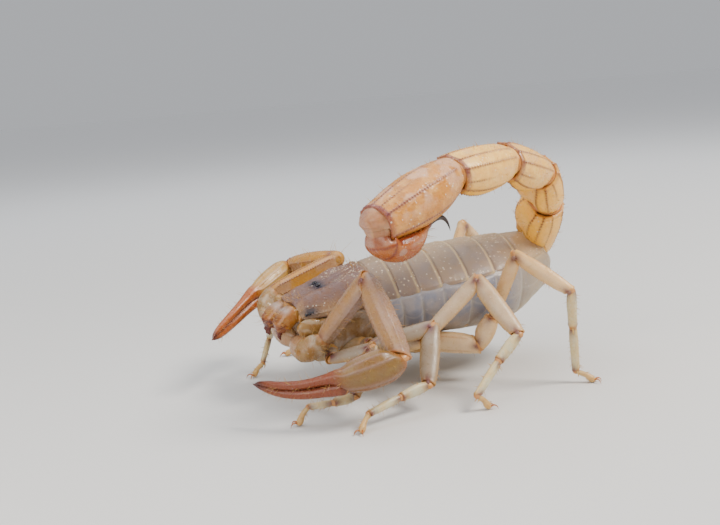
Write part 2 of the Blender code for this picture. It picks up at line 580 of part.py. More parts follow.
def pedipalps():
    sec = oval(10, 2.6)
    for tag, pts in (("l", PEDIPALP_L), ("r", PEDIPALP_R)):
        coxa, bulb, troch, elbow, wrist, hand, tip = [V(p) for p in pts]
        s = 1 if tag == "l" else -1
        n = unit(np.cross(elbow - troch, wrist - elbow))
        outer = unit(elbow - (troch + wrist) / 2)
        path = [coxa, bulb, troch, elbow]
        path[0] = V(s * 3.0, coxa[1] + 0.1, coxa[2])
        dirs = [unit(b - a) for a, b in zip(path[:-1], path[1:])]
        ups = [unit(V(0, 0, 1) - dirs[0] * dirs[0][2]), bend_up(n, dirs[1], outer), bend_up(n, dirs[2], outer)]
        st = [[(0.0, 0.95, 1.0), (0.35, 1.15, 1.15)],
              [(0.35, 1.15, 1.15), (0.75, 0.95, 0.92)],
              [(0.06, 0.84, 0.78), (0.25, 0.95, 0.82), (0.6, 1.0, 0.84), (0.9, 0.98, 0.80), (1.0, 0.62, 0.6)]]
        rings = chain(path, ups, st, sec, (path[0], V(s, 0, 0)), joint_plane(troch, elbow, wrist, -1), neck=0.88, hold=1.3)
        make("pedipalp_%s_femur" % tag, rings, PINK, 0.5)
        d = unit(wrist - elbow)
        st = [[(0.0, 0.62, 0.62), (0.08, 1.0, 0.86), (0.28, 1.25, 1.0), (0.55, 1.28, 1.05), (0.85, 1.1, 0.95), (1.0, 0.66, 0.7)]]
        rings = chain([elbow, wrist], [bend_up(n, d, outer)], st, sec, joint_plane(troch, elbow, wrist, 1), joint_plane(elbow, wrist, hand, -1), hold=1.4)
        make("pedipalp_%s_patella" % tag, rings, PINK, 0.5)
        chela(tag, elbow, wrist, hand, tip)



def chela(tag, elbow, wrist, hand, tip):
    """The hand with its fixed finger above, and the movable finger below it."""
    d1, d2 = unit(hand - wrist), unit(tip - hand)
    L1, L2 = np.linalg.norm(hand - wrist), np.linalg.norm(tip - hand)
    up = V(0, 0, 1)
    def frame(t):
        # smooth turn from the hand's line to the fingers' line
        w = min(1.0, max(0.0, (t - 0.55) / 0.75))
        w = w * w * (3 - 2 * w)
        d = unit(d1 * (1 - w) + d2 * w)
        return d, unit(up - d * d[2]), np.cross(d, unit(up - d * d[2]))
    # centre line: a quadratic blend through the finger root
    def cen(t):
        if t <= 1.0:
            base = wrist + d1 * (L1 * t)
            far = wrist + (tip - wrist) * (t * L1 / (L1 + L2))
            return base * 0.8 + far * 0.2
        q = (t - 1.0)
        p0 = (wrist + d1 * L1) * 0.8 + (wrist + (tip - wrist) * (L1 / (L1 + L2))) * 0.2
        bow = math.sin(q * math.pi) * 0.55
        side = np.cross(d2, up)
        out = side if float(side @ (p0 - (wrist + tip) / 2)) > 0 else -side
        return p0 * (1 - q) + tip * q + out * bow
    sec = oval(10, 2.2)
    rings = []
    plane_p, plane_n = joint_plane(elbow, wrist, hand, 1)
    for t, hd, hw, off in ((0.0, 0.62, 0.66, 0.0), (0.07, 1.05, 1.0, 0.0), (0.24, 1.55, 1.30, -0.05), (0.5, 1.72, 1.38, -0.05),
                           (0.76, 1.50, 1.18, 0.0), (0.94, 1.12, 0.92, 0.05)):
        slim = HAND_SLIM[tag]
        hd, hw = 0.62 + (hd - 0.62) * slim, 0.66 + (hw - 0.66) * slim
        d, u, s = frame(t)
        c = cen(t) + u * off
        pts = [c + s * (hw * x) + u * (hd * y) for x, y in sec]
        near = max(0.0, 1 - t * L1 / 3.4)
        pts = [p + (q - p) * near for p, q in zip(pts, slide(pts, d, plane_p + d * (t * L1), plane_n))]
        w = 2.0 * t
        pts = [p + d * (max(0.0, w - float((p - plane_p) @ plane_n)) / float(d @ plane_n)) for p in pts]
        rings.append(pts)
    # fixed finger: rises from the upper half of the hand
    for t, hd, hw, off in ((1.03, 0.50, 0.58, 0.62), (1.2, 0.42, 0.48, 0.52), (1.45, 0.38, 0.42, 0.46), (1.7, 0.33, 0.36, 0.38), (1.9, 0.24, 0.26, 0.28), (1.99, 0.12, 0.14, 0.16)):
        d, u, s = frame(t)
        c = cen(t) + u * (off + GAP / 2)
        rings.append([c + s * (hw * x) + u * (hd * y) for x, y in sec])
    make("pedipalp_%s_hand" % tag, rings, TAN, 0.45)
    rings = []
    for t, hd, hw, off in ((1.04, 0.42, 0.50, -0.60), (1.12, 0.48, 0.54, -0.60), (1.3, 0.42, 0.46, -0.54), (1.5, 0.38, 0.40, -0.48), (1.72, 0.33, 0.35, -0.40), (1.9, 0.24, 0.26, -0.30), (2.0, 0.12, 0.14, -0.18)):
        d, u, s = frame(t)
        c = cen(t) + u * (off - GAP / 2)
        rings.append([c + s * (hw * x) + u * (hd * y) for x, y in sec])
    make("pedipalp_%s_finger" % tag, rings, AMBER, 0.4)


carapace()
coxosternum()
eyes()
chelicerae()
tergites()
belly()
pectines()
telson(*tail())
legs()
pedipalps()
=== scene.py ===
import bpy, json, math
import numpy as np
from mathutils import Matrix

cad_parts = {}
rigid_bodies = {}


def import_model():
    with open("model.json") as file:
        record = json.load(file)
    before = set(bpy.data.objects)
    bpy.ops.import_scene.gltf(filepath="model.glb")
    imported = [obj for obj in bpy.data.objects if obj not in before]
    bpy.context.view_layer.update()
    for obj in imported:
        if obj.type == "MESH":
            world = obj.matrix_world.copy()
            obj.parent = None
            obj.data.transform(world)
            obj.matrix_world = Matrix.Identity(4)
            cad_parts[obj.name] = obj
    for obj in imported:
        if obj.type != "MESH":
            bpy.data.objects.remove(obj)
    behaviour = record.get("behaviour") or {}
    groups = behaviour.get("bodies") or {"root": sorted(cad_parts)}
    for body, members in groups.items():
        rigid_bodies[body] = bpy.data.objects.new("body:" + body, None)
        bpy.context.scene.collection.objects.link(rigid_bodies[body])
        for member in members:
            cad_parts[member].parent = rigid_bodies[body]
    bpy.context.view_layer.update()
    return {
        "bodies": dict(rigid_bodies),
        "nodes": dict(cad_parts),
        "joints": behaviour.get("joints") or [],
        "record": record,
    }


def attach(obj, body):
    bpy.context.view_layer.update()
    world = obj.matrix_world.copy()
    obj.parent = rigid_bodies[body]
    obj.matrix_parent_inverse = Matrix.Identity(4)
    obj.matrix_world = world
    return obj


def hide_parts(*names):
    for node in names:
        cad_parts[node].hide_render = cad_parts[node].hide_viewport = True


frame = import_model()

# A desert scorpion, life size.  Measures below are millimetres in the animal's own frame
# (+X its left, -Y ahead, +Z up); Shell.build moves them to metres about the ground's middle.
MM = 0.001
MIDDLE = np.array((-0.04, 2.38, 0.0))
ATTRS = ("keel", "rim", "warm", "spot", "pale")

# ------------------------------------------------------------- driving sizes
CARAPACE_LEN, CARAPACE_FRONT_HW, CARAPACE_REAR_HW, CARAPACE_EDGE = 8.0, 2.75, 4.65, -3.10
PROSOMA_AT = (0.0, -2.0, 12.4)
PROSOMA_YAW, PROSOMA_PITCH, PROSOMA_ROLL = 0.091, 0.180, 0.041
TERGITE_LEN = (1.96, 2.07, 2.38, 2.89, 3.00, 3.20, 4.44)
TERGITE_HW = (4.65, 4.95, 5.20, 5.40, 5.48, 5.35, 4.80, 2.90)
TERGITE_DROP = (3.30, 3.36, 3.32, 3.25, 3.08, 2.90, 2.65, 1.75)
BODY_DEPTH = (7.9, 8.1, 8.35, 8.6, 8.8, 8.9, 8.5, 5.5)
REAR_SLANT = 0.62
MESO_YAW, MESO_DYAW, MESO_PITCH, MESO_DPITCH = 0.010, 0.007, 0.142, -0.031
TAIL_ROOT_OUT = 1.50
BELLY_BULGE, STERNITE_CUT = 1.055, 0.86
TAIL = ((-0.8, 17.35, 11.75), (2.4, 17.5, 16.4), (5.65, 15.35, 19.85),
        (8.9, 10.3, 21.5), (11.7, 3.6, 21.12), (15.2, -4.85, 18.15))
RING_HW = (2.45, 2.30, 2.25, 2.28, 2.38)
RING_HD = (2.00, 1.80, 1.76, 1.84, 2.12)
BULB_LEN, BULB_HW, BULB_HD, STING_LEN = 5.9, 1.80, 1.34, 3.9
PEDIPALP_L = ((1.9, -9.2, 5.6), (4.6, -9.4, 5.5), (5.2, -7.8, 6.4), (7.9, -3.8, 12.1),
              (13.4, -2.95, 5.95), (13.4, -8.7, 4.45), (8.3, -15.1, 3.95))
PEDIPALP_R = ((-2.3, -9.8, 6.6), (-4.9, -9.9, 7.6), (-5.6, -9.8, 9.5), (-5.4, -2.6, 12.1),
              (-12.4, -5.9, 10.85), (-9.5, -10.9, 8.65), (-3.8, -16.6, 5.75))
LEGS = {
    "l1": ((3.95, -6.5, 4.9), (5.4, -7.1, 4.6), (8.2, -4.0, 5.7), (10.3, -6.6, 2.15), (10.9, -8.8, 2.15), (9.6, -10.8, 1.75), (9.2, -11.9, 0.0)),
    "l2": ((3.95, -3.2, 5.0), (6.0, -3.3, 5.5), (7.9, 2.2, 6.7), (11.5, 0.1, 2.45), (12.15, -2.9, 1.95), (13.0, -6.3, 1.25), (14.3, -7.5, 0.0)),
    "l3": ((3.95, 0.2, 4.6), (6.7, 1.7, 5.4), (7.7, 7.3, 10.5), (12.3, 9.0, 5.95), (13.0, 6.5, 3.95), (14.3, 3.6, 1.55), (14.1, 5.0, 0.0)),
    "l4": ((3.2, 2.1, 4.1), (5.75, 7.9, 3.7), (6.3, 9.3, 6.4), (8.9, 10.9, 12.6), (12.8, 14.4, 9.3), (11.9, 14.9, 5.7), (11.4, 15.3, 1.15), (12.4, 16.8, 0.0)),
    "r1": ((-3.95, -7.0, 5.3), (-5.2, -7.6, 5.1), (-7.6, -5.0, 8.3), (-7.7, -9.7, 5.7), (-9.9, -9.6, 3.8), (-9.1, -10.8, 1.3), (-8.6, -12.1, 0.0)),
    "r2": ((-3.95, -3.4, 5.3), (-6.0, -3.1, 5.8), (-8.5, 1.6, 7.9), (-12.6, -1.4, 4.7), (-13.7, -2.2, 1.8), (-14.4, -5.2, 1.1), (-15.2, -6.9, 0.0)),
    "r3": ((-3.95, -0.4, 4.6), (-7.4, 1.8, 5.2), (-9.4, 7.0, 9.4), (-13.6, 7.4, 4.7), (-14.8, 5.2, 2.6), (-15.8, 1.2, 1.2), (-16.5, -0.6, 0.0)),
    "r4": ((-3.45, 1.7, 4.2), (-6.3, 8.2, 4.0), (-6.9, 9.9, 6.9), (-8.4, 13.1, 13.5), (-12.7, 17.6, 9.5), (-13.2, 18.4, 5.5), (-13.3, 19.2, 1.15), (-14.4, 21.0, 0.0)),
}
LEG_SCALE = {"1": 0.80, "2": 0.90, "3": 1.0, "4": 1.05}


# ------------------------------------------------------------- small helpers
def V(*a):
    return np.array(a[0] if len(a) == 1 else a, float)


def unit(v):
    return v / (np.linalg.norm(v) + 1e-12)


def fade(t, a=0.0, b=1.0):
    t = np.clip((np.asarray(t, float) - a) / (b - a), 0, 1)
    return t * t * (3 - 2 * t)


def rot(yaw, pitch, roll=0.0):
    cy, sy, cp, sp, cr, sr = math.cos(yaw), math.sin(yaw), math.cos(pitch), math.sin(pitch), math.cos(roll), math.sin(roll)
    return (np.array([[cy, -sy, 0], [sy, cy, 0], [0, 0, 1]]) @ np.array([[1, 0, 0], [0, cp, -sp], [0, sp, cp]])
            @ np.array([[cr, 0, sr], [0, 1, 0], [-sr, 0, cr]]))


def curve(xs, ys):
    """Smooth curve through the stations ys at xs."""
    xs, ys = np.array(xs, float), np.array(ys, float)
    m = np.gradient(ys, xs, axis=0)

    def f(t):
        t = np.clip(t, xs[0], xs[-1])
        i = np.clip(np.searchsorted(xs, t, side="right") - 1, 0, len(xs) - 2)
        h, q = xs[i + 1] - xs[i], (t - xs[i]) / (xs[i + 1] - xs[i])
        shape = q.shape + (1,) * (ys.ndim - 1)
        q, h = q.reshape(shape), h.reshape(shape)
        q2, q3 = q * q, q ** 3
        return (2 * q3 - 3 * q2 + 1) * ys[i] + (q3 - 2 * q2 + q) * h * m[i] + (3 * q2 - 2 * q3) * ys[i + 1] + (q3 - q2) * h * m[i + 1]
    return f


def upsample(rings, m, n, wrap=True):
    """A fine grid of m rings of n points through a coarse set of rings."""
    R = np.array(rings, float)
    step = np.linalg.norm(np.diff(R, axis=0), axis=2).mean(1)
    xs = np.concatenate([[0], np.cumsum(np.maximum(step, 1e-3))])
    A = curve(xs / xs[-1], R)(np.linspace(0, 1, m))
    k = R.shape[1]
    if wrap:
        c = np.arange(n) * k / n
        at = lambda j: A[:, (np.floor(c).astype(int) + j) % k]
    else:
        c = np.linspace(0, k - 1.0001, n)
        at = lambda j: A[:, np.clip(np.floor(c).astype(int) + j, 0, k - 1)]
    q = (c - np.floor(c))[None, :, None]
    p0, p1, p2, p3 = at(-1), at(0), at(1), at(2)
    return 0.5 * (2 * p1 + (p2 - p0) * q + (2 * p0 - 5 * p1 + 4 * p2 - p3) * q ** 2 + (3 * p1 - p0 - 3 * p2 + p3) * q ** 3)


def oval(n, p=2.0, turn=0.5):
    t = 2 * np.pi * (np.arange(n) + turn) / n
    c, s = np.cos(t), np.sin(t)
    return np.stack([np.sign(c) * np.abs(c) ** (2 / p), np.sign(s) * np.abs(s) ** (2 / p)], 1)


# ------------------------------------------------------- repeatable roughness
def hsh(i, j, k, seed):
    with np.errstate(over="ignore"):
        h = i.astype(np.uint32) * np.uint32(374761393) + j.astype(np.uint32) * np.uint32(668265263) + k.astype(np.uint32) * np.uint32(2246822519) + np.uint32(seed * 9781 + 7)
        h = (h ^ (h >> np.uint32(13))) * np.uint32(1274126177)
        h = (h ^ (h >> np.uint32(15))) * np.uint32(2654435761)
        h = h ^ (h >> np.uint32(16))
    return (h & np.uint32(0xFFFFFF)).astype(float) / 0xFFFFFF


def noise(P, size, seed=0):
    q = P / size + 1000.0
    i = np.floor(q).astype(np.int64)
    f = fade(q - i)
    out = 0
    for a in (0, 1):
        for b in (0, 1):
            for c in (0, 1):
                w = (f[..., 0] if a else 1 - f[..., 0]) * (f[..., 1] if b else 1 - f[..., 1]) * (f[..., 2] if c else 1 - f[..., 2])
                out = out + w * hsh(i[..., 0] + a, i[..., 1] + b, i[..., 2] + c, seed)
    return out


def rough(P, size, seed=0, octaves=3):
    return sum(noise(P, size / 2 ** o, seed + o) * 0.5 ** o for o in range(octaves)) / sum(0.5 ** o for o in range(octaves))


def cells(P, size, seed=0):
    """Distance to the nearest scattered point, and that point's own number."""
    q = P / size + 1000.0
    i = np.floor(q).astype(np.int64)
    best = np.full(P.shape[:-1], 9.0)
    own = np.zeros(P.shape[:-1])
    for a in (-1, 0, 1):
        for b in (-1, 0, 1):
            for c in (-1, 0, 1):
                j = (i[..., 0] + a, i[..., 1] + b, i[..., 2] + c)
                d = np.sqrt(sum((j[k] + 0.1 + 0.8 * hsh(*j, seed + 1 + k) - q[..., k]) ** 2 for k in range(3)))
                near = d < best
                best = np.where(near, d, best)
                own = np.where(near, hsh(*j, seed + 9), own)
    return best * size, own


def grains(P, size, radius, height, seed=0, keep=1.0):
    """Low round grains scattered over a surface."""
    d, own = cells(P, size, seed)
    r = radius * (0.55 + 0.45 * (own / max(keep, 1e-3)))
    return np.where(own < keep, height * np.sqrt(np.clip(1 - (d / r) ** 2, 0, 1)), 0.0)


def normals(P, wrap=True):
    du = np.gradient(P, axis=0)
    dv = np.roll(P, -1, 1) - np.roll(P, 1, 1) if wrap else np.gradient(P, axis=1)
    N = np.cross(du, dv)
    N /= np.linalg.norm(N, axis=2, keepdims=True) + 1e-12
    C = P.mean(1, keepdims=True)
    return N if ((P - C) * N).sum() > 0 else -N


def raised(P, h, wrap=True):
    return P + normals(P, wrap) * np.asarray(h)[..., None]


def ridge(P, cols, height, width, beads=0.0, keep=None, tint=1.0):
    """Raised lines along given columns of a grid, beaded like a row of teeth; the height and a 0..1 mask."""
    h, mask = np.zeros(P.shape[:2]), np.zeros(P.shape[:2])
    for c in cols:
        K = P[:, c]
        s = np.concatenate([[0], np.cumsum(np.linalg.norm(np.diff(K, axis=0), axis=1))])
        d = np.linalg.norm(P - K[:, None], axis=2)
        g = np.exp(-(d / width) ** 2)
        b = 0.55 + 0.45 * np.cos(2 * np.pi * s / beads) if beads else np.ones(len(s))
        if keep is not None:
            g = g * keep[:, None]
        h = np.maximum(h, height * g * b[:, None])
        mask = np.maximum(mask, np.exp(-(d / (width * tint)) ** 2) * (0.45 + 0.6 * b[:, None]) * (keep[:, None] if keep is not None else 1))
    return h, mask


# --------------------------------------------------------------- mesh making
class Shell:
    """Gathers closed grids into one mesh, with masks for the finish."""
    def __init__(self):
        self.v, self.q, self.t, self.qm, self.tm, self.n = [], [], [], [], [], 0
        self.a = {k: [] for k in ATTRS}

    def add(self, P, mat=0, wrap=True, caps=(True, True), **masks):
        m, n = P.shape[:2]
        idx = self.n + np.arange(m * n).reshape(m, n)
        pts = [P.reshape(-1, 3)]
        full = {k: np.broadcast_to(np.asarray(masks.get(k, 0.0), float), (m, n)) for k in ATTRS}
        extra = {k: [] for k in ATTRS}
        A, B = idx[:-1], idx[1:]
        if wrap:
            Q = np.stack([A, np.roll(A, -1, 1), np.roll(B, -1, 1), B], -1).reshape(-1, 4)
        else:
            Q = np.stack([A[:, :-1], A[:, 1:], B[:, 1:], B[:, :-1]], -1).reshape(-1, 4)
        T = []
        nxt = self.n + m * n
        for which, row in ((0, 0), (1, m - 1)):
            if not (wrap and caps[which]):
                continue
            pts.append(P[row].mean(0)[None])
            for k in ATTRS:
                extra[k].append(full[k][row].mean())
            r = idx[row]
            c = np.full(n, nxt)
            T.append(np.stack([np.roll(r, -1), r, c], 1) if which == 0 else np.stack([r, np.roll(r, -1), c], 1))
            nxt += 1
        T = np.concatenate(T) if T else np.zeros((0, 3), int)
        pts = np.concatenate(pts)
        if wrap:                                # faces look outward
            o = pts - pts.mean(0)
            tri = np.concatenate([Q[:, [0, 1, 2]], Q[:, [0, 2, 3]], T]) - self.n
            vol = np.einsum("ij,ij->i", o[tri[:, 0]], np.cross(o[tri[:, 1]], o[tri[:, 2]])).sum()
            if vol < 0:
                Q, T = Q[:, ::-1], T[:, ::-1]
        self.v.append(pts)
        self.q.append(Q)
        self.t.append(T)
        self.qm.append(np.full(len(Q), mat))
        self.tm.append(np.full(len(T), mat))
        for k in ATTRS:
            self.a[k].append(np.concatenate([full[k].reshape(-1), np.array(extra[k], float)]))
        self.n += len(pts)
        return P

    def build(self, name, mats, slot, *nodes, sharp=48):
        v = (np.concatenate(self.v) - MIDDLE) * MM
        q, t = np.concatenate(self.q), np.concatenate(self.t)
        me = bpy.data.meshes.new(name)
        me.vertices.add(len(v))
        me.vertices.foreach_set("co", v.astype(np.float32).ravel())
        me.loops.add(q.size + t.size)
        me.loops.foreach_set("vertex_index", np.concatenate([q.ravel(), t.ravel()]).astype(np.int32))
        me.polygons.add(len(q) + len(t))
        start = np.concatenate([np.arange(len(q)) * 4, q.size + np.arange(len(t)) * 3]).astype(np.int32)
        me.polygons.foreach_set("loop_start", start)
        me.polygons.foreach_set("material_index", np.concatenate(self.qm + self.tm).astype(np.int32))
        me.update(calc_edges=True)
        me.validate()
        me.shade_smooth()
        if sharp:
            me.set_sharp_from_angle(angle=math.radians(sharp))
        for k in ATTRS:
            a = np.concatenate(self.a[k])
            if a.max() > 0:
                me.attributes.new(k, "FLOAT", "POINT").data.foreach_set("value", a.astype(np.float32))
        for mt in mats:
            me.materials.append(mt)
        ob = bpy.data.objects.new(name, me)
        bpy.context.scene.collection.objects.link(ob)
        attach(ob, "root")
        if nodes:
            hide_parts(*nodes)
        return ob


# ----------------------------------------------------------------- materials
def deep_tone(c):
    """Fuller colour at the same brightness of its strongest part."""
    m = max(c)
    return tuple(m * (x / m) ** 1.75 for x in c)


def finish(name, base, second, rough_at=0.45, soft=0.15, soft_tint=(1.0, 0.4, 0.2), mottle=0.9, masks=(), specks=0.0,
           grain=0.12, bump=0.35, fine=0.10, deep=0.00004, speck_colour=(0.80, 0.72, 0.60), spec=0.5):
    """A hard or soft skin: two tones mottled together, masked colours on top, fine grain in the relief.
    mottle and grain are feature sizes in mm."""
    base, second = deep_tone(base), deep_tone(second)
    masks = [(k, deep_tone(c), a) for k, c, a in masks]
    m = bpy.data.materials.new(name)
    m.use_nodes = True
    nt = m.node_tree
    b = nt.nodes["Principled BSDF"]
    new, link = nt.nodes.new, nt.links.new
    co = new("ShaderNodeTexCoord").outputs["Object"]

    def tex(size, detail=4, rough_=0.55):
        t = new("ShaderNodeTexNoise")
        t.inputs["Scale"].default_value = 1.0 / (size * MM)
        t.inputs["Detail"].default_value = detail
        t.inputs["Roughness"].default_value = rough_
        link(co, t.inputs["Vector"])
        return t.outputs["Fac"]

    def ramp(src, lo, hi, a=0.0, z=1.0):
        r = new("ShaderNodeMapRange")
        r.inputs["From Min"].default_value, r.inputs["From Max"].default_value = lo, hi
        r.inputs["To Min"].default_value, r.inputs["To Max"].default_value = a, z
        r.interpolation_type = "SMOOTHSTEP"
        link(src, r.inputs["Value"])
        return r.outputs["Result"]

    def mix(a, c, fac, kind="MIX"):
        n = new("ShaderNodeMix")
        n.data_type, n.blend_type = "RGBA", kind
        ins = [i for i in n.inputs if i.type == "RGBA"]
        for s, x in zip(ins, (a, c)):
            if isinstance(x, tuple):
                s.default_value = (*x, 1.0)
            else:
                link(x, s)
        f = n.inputs[0]
        if isinstance(fac, float):
            f.default_value = fac
        else:
            link(fac, f)
        return [o for o in n.outputs if o.type == "RGBA"][0]

    def times(a, c):
        n = new("ShaderNodeMath")
        n.operation = "MULTIPLY"
        for s, x in zip(n.inputs, (a, c)):
            if isinstance(x, float):
                s.default_value = x
            else:
                link(x, s)
        return n.outputs[0]

    col = mix(base, second, ramp(tex(mottle), 0.36, 0.64))
    small = tex(grain * 1.6, 3)
    for attr, tone, amount in masks:
        at = new("ShaderNodeAttribute")
        at.attribute_name = attr
        col = mix(col, tone, times(times(at.outputs["Fac"], amount), ramp(small, 0.2, 0.62, 0.72, 1.0)))
    col = mix(col, (0.42, 0.36, 0.32), times(ramp(small, 0.52, 0.78), fine), "MULTIPLY")
    if specks:
        vo = new("ShaderNodeTexVoronoi")
        vo.inputs["Scale"].default_value = 1.0 / (0.42 * MM)
        link(co, vo.inputs["Vector"])
        rare = ramp(tex(0.9, 2), 0.50, 0.66)
        col = mix(col, speck_colour, times(times(ramp(vo.outputs["Distance"], 0.26, 0.10), rare), specks))
    link(col, b.inputs["Base Color"])
    link(ramp(tex(grain * 3, 4), 0.3, 0.7, rough_at - 0.09, rough_at + 0.09), b.inputs["Roughness"])
    bp = new("ShaderNodeBump")
    bp.inputs["Strength"].default_value = bump
    bp.inputs["Distance"].default_value = deep
    link(tex(grain, 5, 0.65), bp.inputs["Height"])
    link(bp.outputs["Normal"], b.inputs["Normal"])
    b.inputs["Subsurface Weight"].default_value = soft
    b.inputs["Subsurface Radius"].default_value = soft_tint
    b.inputs["Subsurface Scale"].default_value = 0.0007
    b.inputs["Specular IOR Level"].default_value = spec
    return m
